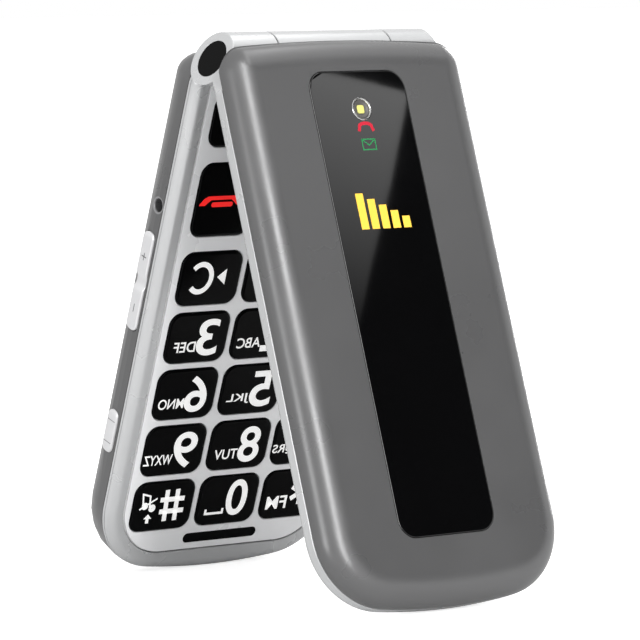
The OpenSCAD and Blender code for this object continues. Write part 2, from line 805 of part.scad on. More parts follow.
module usb_port() {
    l = 5.4;
    shell_t = 0.3;
    v1 = base_l - 0.6;
    color(steel) on_base() {
        difference() {
            block(0, v1 - l / 2, usb_size[0], l, usb_z - usb_size[1], usb_z);
            block(0, v1 - l / 2 + shell_t * 2, usb_size[0] - 2 * shell_t, l,
                usb_z - usb_size[1] + shell_t, usb_z - shell_t);
        }
        block(0, v1 - l / 2, 4.4, l - 2, usb_z - usb_size[1] / 2 - 0.3, usb_z - usb_size[1] / 2 + 0.3);
        block(0, v1 - l + shell_t * 2.5, 4.4, shell_t * 2, usb_z - usb_size[1] / 2 - 0.3,
            usb_z - usb_size[1] / 2 + 0.3);
    }
}

module mic_strip() {
    color(gloss_black) on_base() {
        pad(0, strip_v, strip_size[0], strip_size[1], strip_size[1] / 2 - eps, plate_under_z, face_z - 0.05);
        pad(0, strip_v, strip_size[0] + 1, strip_size[1] + 0.8, strip_size[1] / 2,
            plate_under_z - 0.3, plate_under_z);
    }
}

module microphone() {
    color(steel) on_base() pad(0, strip_v, 4, 2.6, 0.3, board_z, plate_under_z - 0.4);
}

module loudspeaker() {
    color([0.12, 0.12, 0.12]) on_base()
        pad(0, speaker_v, speaker_size[0], speaker_size[1], 2, inner_back_z, inner_back_z + speaker_size[2]);
}

module vibration_motor() {
    r = 4.4;
    color(steel) on_base() post(board_half + 0.4 - r, speaker_v + 1, r, board_under_z - 2.6, board_under_z);
}

antenna_w = 12;

module antenna() {
    color([0.7, 0.6, 0.35]) on_base()
        block(board_half - 1.8 - antenna_w / 2, board_end_v - 1.6, antenna_w, 3,
            board_under_z - 2.2, board_under_z);
}

module base_screws() {
    color(steel) on_base() for (s = [-1, 1], v = screw_v) {
        post(s * screw_x, v, screw_r, cover_z + 0.1, band_z - 0.05);
        post(s * screw_x, v, screw_head_r, cover_z + 0.05, cover_z + screw_head_t);
    }
}

module battery_cover() {
    notch_r = 5;
    color(shell_grey) on_base() difference() {
        pad(0, cover_v, cover_w, cover_l, 6, back_z - cover_proud, cover_z - 0.05);
        translate([0, -cover_v + cover_l / 2 - 4, back_z - cover_proud - notch_r + 0.5])
            rotate([90, 0, 0]) cylinder(r = notch_r, h = 1.2);
    }
}

// ---- hinge ----

flex_half = 8.5;
flex_w = 12;
flex_bore_r = 3.1;
running = 0.04;

module hinge_spindle() {
    color(steel) on_base() axle(spindle_r, -spindle_half, spindle_half);
}

// The flat cable between the halves, rolled up in the middle knuckle with its tail into the base
module flex_cable() {
    t = 0.2;
    r = flex_bore_r - 0.15;
    tail_l = 6.6;
    color([0.75, 0.5, 0.15]) on_base() {
        difference() {
            axle(r, -flex_w / 2, flex_w / 2);
            axle(r - t, -flex_w / 2 - past, flex_w / 2 + past);
        }
        block(0, tail_l / 2, flex_w, tail_l, -r, -r + t);
    }
}

module hinge_bushes() {
    length = spindle_half - knuckle_half - 2.2;
    color(steel) on_lid() difference() {
        union() for (s = [-1, 1]) axle_from(s, disc_r, knuckle_half + 2, length);
        axle(spindle_r + running, -case_w, case_w);
    }
}

module axle_from(side, r, x, length) {
    if (side > 0) axle(r, x, x + length);
    else axle(r, -x - length, -x);
}

module hinge_caps() {
    start = spindle_half + 0.15;
    color(gloss_black) on_lid() for (s = [-1, 1]) difference() {
        axle_from(s, disc_r, start, barrel_half);
        beyond_end(s, disc_sink);
    }
}

// ---- lid ----

bumper_v = [8.6, half_l - 7.2];
bumper_proud = 0.2;
bumper_x = [half_w - 6, half_w - 12.5];
bumper_r = 1.5;
BUMPERS = [for (i = [0, 1], s = [-1, 1]) [s * bumper_x[i], bumper_v[i]]];
pocket_r = bumper_r + 0.08;
glass_v = (glass_v0 + glass_v1) / 2;
glass_l = glass_v1 - glass_v0;
lcd_v = lcd_v0 + lcd_l / 2;

module lid_frame() {
    barrel_gap_r = barrel_r + barrel_gap;
    inset = 2.3;
    color(silver) on_lid() difference() {
        union() {
            difference() {
                case_slab(lid_head, half_l, lid_face, lid_seam_z, lid_lip_r, lid_lip_r, false);
                difference() {
                    case_plate(lid_head, half_l, inset, lid_floor_z, lid_seam_z + past);
                    axle(barrel_gap_r + 1.4, -case_w, case_w);
                    for (b = BUMPERS) post(b[0], b[1], boss_r, lid_floor_z - past, lid_seam_z + 2 * past);
                }
                knuckle_room(barrel_gap_r, case_w);
            }
            for (s = [-1, 1]) {
                axle_from(s, barrel_r, knuckle_half + barrel_gap, barrel_half);
                mirror([s < 0 ? 1 : 0, 0, 0]) translate([knuckle_half + barrel_gap, -7, lid_face])
                    cube([barrel_half - knuckle_half, 7, lid_frame_h]);
            }
        }
        beyond_end(-1, 0);
        beyond_end(1, 0);
        axle(spindle_r + running, -case_w, case_w);
        for (s = [-1, 1]) axle_from(s, disc_r + running, knuckle_half + 2, barrel_half);
        pad(0, glass_v, glass_w + 0.2, glass_l + 0.2, 3.1, lid_face - past, lid_face + glass_sink + glass_t);
        pad(0, lcd_v, lcd_w - 1.6, lcd_l - 5, 1, lid_face, lid_floor_z + past);
        pad(0, ear_v, ear_size[0] - 5, 1.6, 0.7, lid_face, lid_floor_z + past);
        for (b = BUMPERS) {
            post(b[0], b[1], pocket_r, lid_face - past, lid_face + 1.2);
            post(b[0], b[1], screw_r + 0.05, lid_face, lid_seam_z + past);
        }
    }
}

module panel_form(g, z_lo, z_hi) {
    pad(0, (panel_v0 + panel_v1) / 2, panel_w + 2 * g, panel_v1 - panel_v0 + 2 * g, panel_r + g, z_lo, z_hi);
}

panel_gap = 0.1;

module lid_shell() {
    color(shell_grey) on_lid() difference() {
        union() {
            difference() {
                case_slab(lid_head, half_l, lid_shell_z, lid_top_z, lid_edge_w, lid_edge_h, true);
                difference() {
                    union() {
                        case_plate(lid_head, half_l, lid_wall + 0.2, lid_shell_z - past, lid_top_z - 2.9);
                        case_plate(lid_head, half_l, lid_wall + 2.2, lid_top_z - 2.9 - eps, lid_roof_z);
                    }
                    axle(barrel_r + barrel_gap + 1.4, -case_w, case_w);
                    for (b = BUMPERS) post(b[0], b[1], boss_r, lid_shell_z - past, lid_top_z);
                }
            }
            difference() {
                union() {
                    case_plate(lid_head, half_l, 2.4, lid_shell_z - 0.7, lid_shell_z + 1);
                    case_plate(lid_head, half_l, lid_wall, lid_shell_z, lid_shell_z + 1);
                }
                case_plate(lid_head, half_l, 3.3, lid_shell_z - past, lid_shell_z + 2 * past);
                block(0, 0, case_w, 20, lid_shell_z - past, lid_shell_z + 2 * past);
            }
        }
        knuckle_room(barrel_r + barrel_gap, case_w);
        panel_form(panel_gap, lid_top_z - panel_t, lid_top_z + past);
        post(0, lamp_v, lamp_r + 0.05, lid_shell_z, lid_top_z);
        block(0, window_v, window_w + 0.3, window_l + 0.3, lid_shell_z, lid_top_z);
        for (b = BUMPERS) post(b[0], b[1], screw_r, lid_face, lid_shell_z + 2);
    }
}

module panel_glass() {
    color(gloss_black) on_lid() difference() {
        panel_form(0, lid_top_z - panel_t, lid_top_z);
        post(0, lamp_v, lamp_r + 0.03, lid_shell_z, lid_top_z + past);
    }
}

module lens_ring() {
    color(silver) on_lid() difference() {
        post(0, lamp_v, lamp_r, lid_roof_z, lid_top_z + 0.12);
        post(0, lamp_v, lamp_r - lamp_ring_w, lid_roof_z - past, lid_top_z + past);
    }
}

module led_lens() {
    color([0.9, 0.9, 0.85, 0.4]) on_lid()
        post(0, lamp_v, lamp_r - lamp_ring_w, lid_top_z - 0.45, lid_top_z - 0.1);
}

module flash_led() {
    chip_t = 0.5;
    color([0.95, 0.8, 0.2]) on_lid() {
        pad(0, lamp_v, lamp_chip_w, lamp_chip_w, 0.2, lid_top_z - 0.5 - chip_t, lid_top_z - 0.5);
        block(0, lamp_v, lamp_chip_w + 0.6, lamp_chip_w + 0.6, lid_board_top_z, lid_top_z - 0.5 - chip_t);
    }
}

module indicator_guide() {
    color([0.85, 0.85, 0.85]) on_lid()
        pad(0, window_v, window_w, window_l, 0.5, lid_board_top_z, lid_top_z - panel_t);
}

module display_glass() {
    color(gloss_black) on_lid() difference() {
        pad(0, glass_v, glass_w, glass_l, 3, lid_face + glass_sink, lid_face + glass_sink + glass_t);
        pad(0, ear_v, ear_size[0] - 6, 1.2, 0.55, lid_face - past, lid_floor_z);
    }
}

module lcd_module() {
    color([0.2, 0.22, 0.25]) on_lid() pad(0, lcd_v, lcd_w, lcd_l, 0.8, lid_floor_z, lid_board_z);
}

module earpiece() {
    color([0.1, 0.1, 0.1]) on_lid()
        pad(0, ear_v, ear_size[0], ear_size[1], 2, lid_floor_z, lid_floor_z + ear_size[2]);
}

module lid_board() {
    v0 = lamp_v - 2.5;
    color(board_green) on_lid()
        pad(0, (v0 + lcd_v) / 2 + 8, lcd_w - 4, lcd_v - v0 + 16, 2, lid_board_z, lid_board_top_z);
}

module lid_bumpers() {
    color([0.3, 0.3, 0.3]) on_lid() for (b = BUMPERS)
        post(b[0], b[1], bumper_r, lid_face - bumper_proud, lid_face + 0.5);
}

module lid_screws() {
    color(steel) on_lid() for (b = BUMPERS) {
        post(b[0], b[1], screw_head_r - 0.1, lid_face + 0.55, lid_face + 1.2);
        post(b[0], b[1], screw_r, lid_face + 1.1, lid_shell_z + 1.9);
    }
}

// ---- the nodes ----

mid_frame();
rear_housing();
keypad_plate();
keymat();
dome_sheet();
main_board();
shield_cans();
battery();
battery_contacts();
sim_holder();
headset_jack();
usb_port();
side_switches();
mic_strip();
microphone();
loudspeaker();
vibration_motor();
antenna();
base_screws();
hinge_spindle();
flex_cable();
battery_cover();
volume_rocker();
side_key();
for (k = KEYS) key_cap(k);
nav_rocker();
ok_key();
lid_shell();
lid_frame();
panel_glass();
lens_ring();
led_lens();
flash_led();
indicator_guide();
display_glass();
lcd_module();
earpiece();
lid_board();
hinge_bushes();
hinge_caps();
lid_bumpers();
lid_screws();
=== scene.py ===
"""Flip phone standing open like a tent. Lengths are in millimetres in each half's own frame: x across,
v from the hinge axis towards the free end, z out of the closed phone's parting plane."""
import json
import math

import bmesh
import bpy
from mathutils import Matrix, Vector
from mathutils.geometry import delaunay_2d_cdt, intersect_line_plane

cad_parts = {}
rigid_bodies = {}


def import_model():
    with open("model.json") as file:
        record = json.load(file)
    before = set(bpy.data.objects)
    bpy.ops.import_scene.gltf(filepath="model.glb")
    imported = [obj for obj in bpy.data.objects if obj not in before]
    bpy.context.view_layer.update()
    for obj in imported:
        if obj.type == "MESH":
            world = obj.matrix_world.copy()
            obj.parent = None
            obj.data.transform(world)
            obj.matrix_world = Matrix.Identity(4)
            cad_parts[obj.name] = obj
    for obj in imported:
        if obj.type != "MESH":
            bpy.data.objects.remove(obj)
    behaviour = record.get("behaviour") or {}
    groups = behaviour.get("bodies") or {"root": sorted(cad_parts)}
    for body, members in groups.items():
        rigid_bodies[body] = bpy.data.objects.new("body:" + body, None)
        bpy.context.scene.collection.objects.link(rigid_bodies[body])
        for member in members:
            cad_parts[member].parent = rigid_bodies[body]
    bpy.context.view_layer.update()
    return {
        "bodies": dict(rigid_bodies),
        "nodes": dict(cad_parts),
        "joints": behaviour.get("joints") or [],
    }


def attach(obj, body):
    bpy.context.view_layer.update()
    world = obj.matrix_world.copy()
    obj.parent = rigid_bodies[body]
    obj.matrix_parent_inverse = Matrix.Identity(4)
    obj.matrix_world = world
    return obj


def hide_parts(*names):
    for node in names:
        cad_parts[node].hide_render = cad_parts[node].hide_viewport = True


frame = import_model()

MM = 0.001
JOINTS = {j["name"]: j for j in frame["joints"]}
NODES = frame["nodes"]

# ---- frames of the two halves ----

hinge = Vector(JOINTS["lid_hinge"]["pos_m"])
inward = Vector(JOINTS["key_5_press"]["axis"])
open_angle = -math.radians(JOINTS["lid_hinge"]["range_deg"][0])
base_lean = math.atan2(inward.z, inward.y)
lid_lean = open_angle - base_lean
scale_mm = Matrix.Scale(MM, 4)
LID = Matrix.Translation(hinge) @ Matrix.Rotation(math.pi / 2 - lid_lean, 4, "X") @ scale_mm
BASE = Matrix.Translation(hinge) @ Matrix.Rotation(math.pi / 2 + base_lean, 4, "X") @ scale_mm

# ---- sizes ----

# Outline of a half: width, lengths, corners at the hinge end and at the free end
half_w = 27.5
half_l = 105.45
base_l = 105.75
lid_head = 1.5
toe_r = 14
toe_bow_r = 130
head_r = 5
head_bow_r = 320

# Lid shell and front panel
lid_shell_z = 3.72
lid_top_z = 8.15
lid_edge_w = 5.8
room_r = 5.05
panel_w = 22.12
panel_v0 = 5.5
panel_v1 = 92.85
panel_r = 3.6
panel_t = 0.8
lamp_v = 12.67
lamp_r = 2.2

# Keypad plate and its seat in the band
face_z = -0.5
plate_t = 1.0
plate_under_z = face_z - plate_t
plate_half = 23.9
plate_v0 = 4.11
plate_v1 = 101.1
plate_toe_r = 10.3
plate_head_r = 2
neck_half = 13.2
neck_v = 6.6
groove = 0.2
ledge = 1.2
band_z = -2.8
band_r = 2.2

# Hinge barrel
knuckle_half = 13
barrel_r = 4.79
barrel_gap = 0.25
barrel_half = 25.5
end_tilt = 27
end_turn = 36
disc_r = 3.24
end_bevel = 0.12

# Lid frame
lid_face = 0.3
lid_seam_z = 3.6
lid_lip_r = 1.8
lid_wall = 2.3
lid_floor_z = 1.6
glass_z = 1.15
glass_r = 3.1
bumpers = ((21.5, 8.6), (15, half_l - 7.2))
bumper_r = 1.58

# Keys
key_top_z = -0.2
key_r = 2.4
key_gap = 0.15
strip_v = 98.71
strip_size = (17.4, 2)
side_key_high = {"volume_rocker": 3.2, "side_key": 3.0}
side_z = -5.0
jack_z = -4.4
print_t = 0.015

# ---- camera, from the photograph ----

aim_from_hinge = Vector((-0.6, 0, -49.13))
camera_far = 0.82515
target = hinge + aim_from_hinge * MM
back = Vector((-0.6071, -0.7895, 0.0901)).normalized()
cam_data = bpy.data.cameras.new("camera")
cam_data.lens = 249.0
cam_data.sensor_width = 36
camera = bpy.data.objects.new("camera", cam_data)
bpy.context.scene.collection.objects.link(camera)
camera.location = target + back * camera_far
camera.rotation_euler = back.to_track_quat("Z", "Y").to_euler()
bpy.context.scene.camera = camera
bpy.context.view_layer.update()


def pixel_ray(px, py):
    """Direction from the camera through a pixel of the 640 x 640 photograph."""
    half = cam_data.sensor_width / 2
    d = Vector(((px - 320) / 320 * half, (320 - py) / 320 * half, -cam_data.lens))
    return (camera.matrix_world.to_3x3() @ d).normalized()


# ---- materials ----


def material(name, color, rough, metal=0.0, vary=0.03, bump=0.1, grain=5200, broad=70,
             rough_vary=0.04, coat=0.0, coat_rough=0.1, spec=0.5, glow=None):
    """Procedural finish: slow colour change, uneven gloss and a fine moulded or painted grain; glow adds
    painted light, an emission in the surface's own colour.
    """
    m = bpy.data.materials.new(name)
    m.use_nodes = True
    tree = m.node_tree
    shader = tree.nodes["Principled BSDF"]
    coord = tree.nodes.new("ShaderNodeTexCoord")

    def noise(scale, detail):
        n = tree.nodes.new("ShaderNodeTexNoise")
        n.inputs["Scale"].default_value = scale
        n.inputs["Detail"].default_value = detail
        tree.links.new(coord.outputs["Object"], n.inputs["Vector"])
        return n.outputs["Fac"]

    slow = noise(broad, 4)
    fine = noise(grain, 3)
    tint = tree.nodes.new("ShaderNodeMix")
    tint.data_type = "RGBA"
    tint.inputs[6].default_value = [c * (1 - vary) for c in color] + [1]
    tint.inputs[7].default_value = [min(1, c * (1 + vary)) for c in color] + [1]
    tree.links.new(slow, tint.inputs[0])
    tree.links.new(tint.outputs[2], shader.inputs["Base Color"])
    gloss = tree.nodes.new("ShaderNodeMapRange")
    gloss.inputs["From Min"].default_value = 0.3
    gloss.inputs["From Max"].default_value = 0.7
    gloss.inputs["To Min"].default_value = max(0.02, rough - rough_vary)
    gloss.inputs["To Max"].default_value = rough + rough_vary
    tree.links.new(slow, gloss.inputs["Value"])
    tree.links.new(gloss.outputs["Result"], shader.inputs["Roughness"])
    relief = tree.nodes.new("ShaderNodeBump")
    relief.inputs["Strength"].default_value = bump
    relief.inputs["Distance"].default_value = 0.00002
    tree.links.new(fine, relief.inputs["Height"])
    tree.links.new(relief.outputs["Normal"], shader.inputs["Normal"])
    shader.inputs["Metallic"].default_value = metal
    shader.inputs["Coat Weight"].default_value = coat
    shader.inputs["Coat Roughness"].default_value = coat_rough
    shader.inputs["Specular IOR Level"].default_value = spec
    # Painted light: the surface glows in its own colour though it is no lamp
    if glow:
        shader.inputs["Emission Color"].default_value = list(color) + [1]
        shader.inputs["Emission Strength"].default_value = glow
    return m


shell_grey = material("shell_grey", (0.115, 0.115, 0.1165), 0.3, metal=0.4, vary=0.03, bump=0.04)
cover_grey = material("cover_grey", (0.11, 0.11, 0.112), 0.4, metal=0.3, vary=0.03, bump=0.08)
silver_paint = material("silver_paint", (0.52, 0.525, 0.53), 0.26, metal=0.45, bump=0.02)
silver_plate = material("silver_plate", (0.86, 0.865, 0.875), 0.3, metal=0.1, bump=0.02)
side_silver = material("side_silver", (0.66, 0.66, 0.67), 0.3, metal=0.35, bump=0.02)
key_black = material("key_black", (0.0015, 0.0015, 0.0017), 0.14, vary=0.15, bump=0.01, spec=0.05)
key_silver = material("key_silver", (0.6, 0.605, 0.61), 0.28, metal=0.6, bump=0.06)
panel_black = material("panel_black", (0.002, 0.002, 0.0022), 0.03, vary=0.15, bump=0.002,
                       rough_vary=0.005)
screen_black = material("screen_glass", (0.006, 0.0065, 0.008), 0.05, vary=0.15, bump=0.01,
                        rough_vary=0.01)
display_dark = material("display_dark", (0.02, 0.023, 0.028), 0.2, vary=0.1)
chrome = material("chrome_ring", (0.8, 0.8, 0.79), 0.12, metal=1.0, bump=0.02)
yellow = material("lamp_yellow", (0.62, 0.6, 0.16), 0.45, vary=0.2, bump=0.3, grain=2500)
dark_well = material("lamp_well", (0.07, 0.066, 0.062), 0.4, vary=0.12)
# Painted shade: near-black strips set into the seam gaps so that the gaps read dark
painted_seam_shade = material("painted_seam_shade", (0.012, 0.012, 0.012), 0.6, vary=0.15, bump=0.05)
ring_grey = material("ring_grey", (0.25, 0.25, 0.255), 0.3, metal=0.5, vary=0.05, bump=0.02)
guide_dark = material("clear_guide", (0.02, 0.02, 0.02), 0.2, vary=0.1)
barrel_black = material("barrel_black", (0.0015, 0.0015, 0.0015), 0.08, vary=0.15, bump=0.01, spec=0.08)
jack_black = material("jack_black", (0.01, 0.01, 0.01), 0.35, vary=0.15)
plastic_dark = material("dark_plastic", (0.03, 0.03, 0.032), 0.5, vary=0.1)
rubber = material("bumper_rubber", (0.03, 0.03, 0.032), 0.8, vary=0.1, bump=0.3)
silicone = material("silicone", (0.6, 0.6, 0.57), 0.6, vary=0.05)
board = material("board", (0.02, 0.09, 0.05), 0.45, vary=0.15)
steel = material("steel", (0.5, 0.51, 0.53), 0.32, metal=1.0)
wrap = material("battery_wrap", (0.05, 0.05, 0.055), 0.45, vary=0.1)
copper = material("copper_film", (0.5, 0.25, 0.06), 0.4, vary=0.1)
gold = material("antenna_gold", (0.5, 0.4, 0.15), 0.35, metal=0.8)
# White and red prints carry painted light: their glow brightens them as if more light fell on the keys
white_print_painted_glow = material("white_print_painted_glow", (0.86, 0.86, 0.85), 0.5, vary=0.03, bump=0.05, glow=0.35)
red_print_painted_glow = material("red_print_painted_glow", (0.9, 0.008, 0.006), 0.4, vary=0.05, bump=0.05, glow=0.4)
print_grey = material("print_grey", (0.14, 0.14, 0.145), 0.5, vary=0.05, bump=0.05)
print_green = material("print_green", (0.03, 0.3, 0.08), 0.4, vary=0.05, bump=0.05)
icon_red = material("icon_red", (0.5, 0.01, 0.03), 0.35, vary=0.08, bump=0.05)
icon_green = material("icon_green", (0.02, 0.22, 0.07), 0.35, vary=0.08, bump=0.05)
icon_amber = material("icon_amber", (0.93, 0.56, 0.06), 0.35, vary=0.04, bump=0.05)

NODE_MATERIALS = {
    "rear_housing": shell_grey,
    "keymat": silicone, "dome_sheet": steel, "main_board": board, "shield_cans": steel,
    "battery": wrap, "battery_contacts": plastic_dark, "sim_holder": steel,
    "headset_jack": jack_black, "usb_port": steel, "side_switches": plastic_dark,
    "mic_strip": key_black, "microphone": steel, "loudspeaker": plastic_dark,
    "vibration_motor": steel, "antenna": gold, "base_screws": steel, "hinge_spindle": steel,
    "flex_cable": copper, "battery_cover": cover_grey,
    "indicator_guide": guide_dark, "display_glass": screen_black, "lcd_module": display_dark,
    "earpiece": plastic_dark, "lid_board": board, "hinge_bushes": steel,
    "hinge_caps": barrel_black, "lid_bumpers": rubber, "lid_screws": steel,
}

# ---- mesh helpers ----


def arc(cx, cy, r, a0, a1, n):
    return [(cx + r * math.cos(math.radians(a0 + (a1 - a0) * i / n)),
             cy + r * math.sin(math.radians(a0 + (a1 - a0) * i / n))) for i in range(n + 1)]


def bow(w, bow_r, r, n_bow, n_arc):
    """Right half of a bowed end that runs into a round corner, its apex at y = 0."""
    cx = w - r
    cy = math.sqrt((bow_r - r) ** 2 - cx * cx) - bow_r
    a = math.degrees(math.atan2(cy + bow_r, cx))
    return arc(0, -bow_r, bow_r, 90, a, n_bow) + arc(cx, cy, r, a, 0, n_arc)[1:]


def outline(head, inset, l=half_l):
    """Outline of a half drawn in by inset, as (x, y) with y = -v, the same count for every inset."""
    w = half_w - inset
    top = bow(w, head_bow_r - inset, max(head_r - inset, 0.4), 14, 16)
    toe = bow(w, toe_bow_r - inset, max(toe_r - inset, 0.4), 14, 22)
    right = [(p[0], p[1] + head - inset) for p in top]
    y0, y1 = right[-1][1], inset - l - toe[-1][1]
    share = [0.6 * i / (y0 - y1) for i in range(1, 16)] + [0.12 + 0.88 * i / 24 for i in range(24)]
    right += [(w, y0 + (y1 - y0) * s) for s in share]
    right += [(p[0], inset - l - p[1]) for p in reversed(toe)]
    return right + [(-p[0], p[1]) for p in reversed(right[1:-1])]


def split_at(points, half):
    """The outline with a pair of points where its hinge end passes x = half on each side."""
    out = []
    for p, q in zip(points, points[1:] + points[:1]):
        out.append(p)
        for edge in (half, -half):
            if (p[0] - edge) * (q[0] - edge) < 0 and p[1] > -half:
                step = 0.01 if q[0] > p[0] else -0.01
                out += [(edge - step, p[1]), (edge + step, p[1])]
    return out


def behind_barrel(points, z, r_mid, r_side, half):
    """Keeps points of a height behind the barrel: one radius in the middle, another beside it."""
    out = []
    for x, y in points:
        radius = r_mid if abs(x) < half else r_side
        out.append((x, min(y, -math.sqrt(max(radius * radius - z * z, 0)))))
    return out


def rounded(w, l, r, n=8):
    """Rectangle with round corners about (0, 0)."""
    r = max(r, 0.05)
    out = []
    for sx, sy, a in ((1, 1, 0), (-1, 1, 90), (-1, -1, 180), (1, -1, 270)):
        out += arc(sx * (w / 2 - r), sy * (l / 2 - r), r, a, a + 90, n)
    return out


def shifted(points, x, v):
    return [(p[0] + x, p[1] - v) for p in points]


def finish_mesh(o, angle):
    """Smooth shading up to an angle; flat faces keep flat normals."""
    for p in o.data.polygons:
        p.use_smooth = True
    o.data.set_sharp_from_angle(angle=math.radians(angle))
    w = o.modifiers.new("weighted", "WEIGHTED_NORMAL")
    w.keep_sharp = True


def make(name, verts, faces, place, mat, body, replaces=(), angle=32):
    """A piece from points in millimetres of one half's frame."""
    mesh = bpy.data.meshes.new(name)
    mesh.from_pydata([place @ Vector(v) for v in verts], [], faces)
    bm = bmesh.new()
    bm.from_mesh(mesh)
    bmesh.ops.remove_doubles(bm, verts=bm.verts, dist=1e-7)
    bmesh.ops.recalc_face_normals(bm, faces=bm.faces)
    bm.to_mesh(mesh)
    bm.free()
    mesh.materials.append(mat)
    o = bpy.data.objects.new(name, mesh)
    bpy.context.scene.collection.objects.link(o)
    finish_mesh(o, angle)
    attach(o, body)
    if replaces:
        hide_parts(*replaces)


class Mesh:
    """Points and faces gathered from rings."""

    def __init__(self):
        self.verts, self.faces = [], []

    def ring(self, points, z):
        """Adds a closed ring of (x, y) at a height, or a height a point, and returns its numbers."""
        start = len(self.verts)
        zs = z if hasattr(z, "__len__") else [z] * len(points)
        self.verts += [(p[0], p[1], h) for p, h in zip(points, zs)]
        return list(range(start, start + len(points)))

    def bridge(self, a, b):
        n = len(a)
        self.faces += [(a[i], a[(i + 1) % n], b[(i + 1) % n], b[i]) for i in range(n)]

    def loft(self, rings):
        for a, b in zip(rings, rings[1:]):
            self.bridge(a, b)

    def cap(self, ring):
        self.faces.append(tuple(ring))

    def fill(self, outer, holes):
        """Flat face between one ring and the rings inside it."""
        numbers = [i for ring in [outer] + holes for i in ring]
        edges = []
        start = 0
        for ring in [outer] + holes:
            n = len(ring)
            edges += [(start + k, start + (k + 1) % n) for k in range(n)]
            start += n
        points = [Vector(self.verts[i][:2]) for i in numbers]
        spots, _, triangles, sources, _, _ = delaunay_2d_cdt(points, edges, [], 0, 1e-6)
        for f in triangles:
            middle_x = sum(spots[k].x for k in f) / len(f)
            middle_y = sum(spots[k].y for k in f) / len(f)
            crossed = 0
            for a, b in edges:
                p, q = points[a], points[b]
                if (p.y > middle_y) != (q.y > middle_y):
                    crossed += middle_x < p.x + (middle_y - p.y) * (q.x - p.x) / (q.y - p.y)
            if crossed % 2:
                self.faces.append(tuple(numbers[sources[k][0]] for k in f))


def pillow(m, shape, z_low, z_top, edge_w, edge_h, steps=5, cap=True):
    """Wall and softly rounded rim of a raised form from shape(inset). Returns the top ring."""
    rings = [m.ring(shape(0), z_low)]
    for i in range(steps + 1):
        a = math.pi / 2 * i / steps
        rings.append(m.ring(shape(edge_w * (1 - math.cos(a))), z_top - edge_h * (1 - math.sin(a))))
    m.loft(rings)
    if cap:
        m.cap(rings[-1])
    return rings[-1]


def lathe(m, profile, x, v, n=64):
    """Turned form about an axis along z, from (radius, z) points."""
    circle = [(math.cos(2 * math.pi * i / n), math.sin(2 * math.pi * i / n)) for i in range(n)]
    rings = [m.ring([(x + r * c, -v + r * s) for c, s in circle], z) for r, z in profile]
    m.loft(rings)
    return rings


def local_box(node, place, z_from=-50):
    """Lowest and highest corner of a CAD node in one half's frame, of what lies above z_from."""
    inverse = place.inverted()
    pts = [inverse @ v.co for v in NODES[node].data.vertices]
    pts = [p for p in pts if p.z > z_from]
    lo = [min(p[i] for p in pts) for i in range(3)]
    hi = [max(p[i] for p in pts) for i in range(3)]
    return lo, hi


# ---- lid ----


def over_barrel(points, z):
    """Heights that keep a ring of the lid outside the room round the barrel."""
    out = []
    for p in points:
        gap = room_r * room_r - p[1] * p[1]
        limit = math.sqrt(gap) if gap > 0 else 0
        out.append(max(z, limit) if p[1] > -room_r else z)
    return out


def lid_outline(m, inset, z):
    pts = outline(lid_head, inset)
    return m.ring(pts, over_barrel(pts, z))


shell = Mesh()
edge_h = lid_top_z - lid_shell_z - 0.28
edge_inset = 0.045
edge_steps = 26
profile = [(2.2, lid_shell_z), (0.3, lid_shell_z), (0.3, lid_shell_z + 0.12), (0.06, lid_shell_z + 0.14),
           (edge_inset, lid_shell_z + 0.17)]
for k in range(edge_steps + 1):
    a = math.pi / 2 * k / edge_steps
    drop = edge_h * (1 - math.sin(a)) + 0.035 * math.sin(2 * a)
    profile.append((edge_inset + (lid_edge_w - edge_inset) * (1 - math.cos(a)), lid_top_z - drop))
rings = [lid_outline(shell, inset, z) for inset, z in profile]
shell.loft(rings)


def panel_ring(grow):
    return shifted(rounded(panel_w + 2 * grow, panel_v1 - panel_v0 + 2 * grow, panel_r + grow, 12),
                   0, (panel_v0 + panel_v1) / 2)


lip = [shell.ring(panel_ring(g), z) for g, z in
       ((0.24, lid_top_z), (0.15, lid_top_z - 0.03), (0.12, lid_top_z - 0.12),
        (0.12, lid_top_z - panel_t))]
shell.loft(lip)
shell.cap(lip[-1])
shell.fill(rings[-1], [lip[0]])
# A near-black strip sunk in the seam between lid shell and lid frame: painted shade that darkens the gap
seam_half = 0.14
seam_low, seam_high = lid_shell_z - seam_half, lid_shell_z + seam_half
seam_shade_strip = Mesh()
strips = [lid_outline(seam_shade_strip, inset, z) for inset, z in
          ((0.5, seam_low), (0.26, seam_low), (0.26, seam_high), (0.5, seam_high))]
seam_shade_strip.loft(strips + strips[:1])
make("lid_seam", seam_shade_strip.verts, seam_shade_strip.faces, LID, painted_seam_shade, "lid")
make("outer_shell", shell.verts, shell.faces, LID, shell_grey, "lid", ["lid_shell"])

panel = Mesh()
panel_rings = [panel.ring(panel_ring(-g), z) for g, z in
               ((0.0, lid_top_z - panel_t), (0.0, lid_top_z - 0.16), (0.03, lid_top_z - 0.06),
                (0.12, lid_top_z - 0.015), (0.22, lid_top_z - 0.005))]
panel.loft(panel_rings)
well = lathe(panel, [(lamp_r + 0.02, lid_top_z - 0.005), (lamp_r + 0.02, lid_top_z - panel_t)], 0, lamp_v)
panel.fill(panel_rings[-1], [well[0]])
make("gloss_panel", panel.verts, panel.faces, LID, panel_black, "lid", ["panel_glass"])

ring_piece = Mesh()
lathe(ring_piece, [(lamp_r, 6.75), (lamp_r, 8.16), (2.14, 8.24), (2.04, 8.265), (1.94, 8.24), (1.86, 8.15),
                   (1.78, 7.95), (1.75, 6.75)], 0, lamp_v)
make("lamp_ring", ring_piece.verts, ring_piece.faces, LID, chrome, "lid", ["lens_ring"])

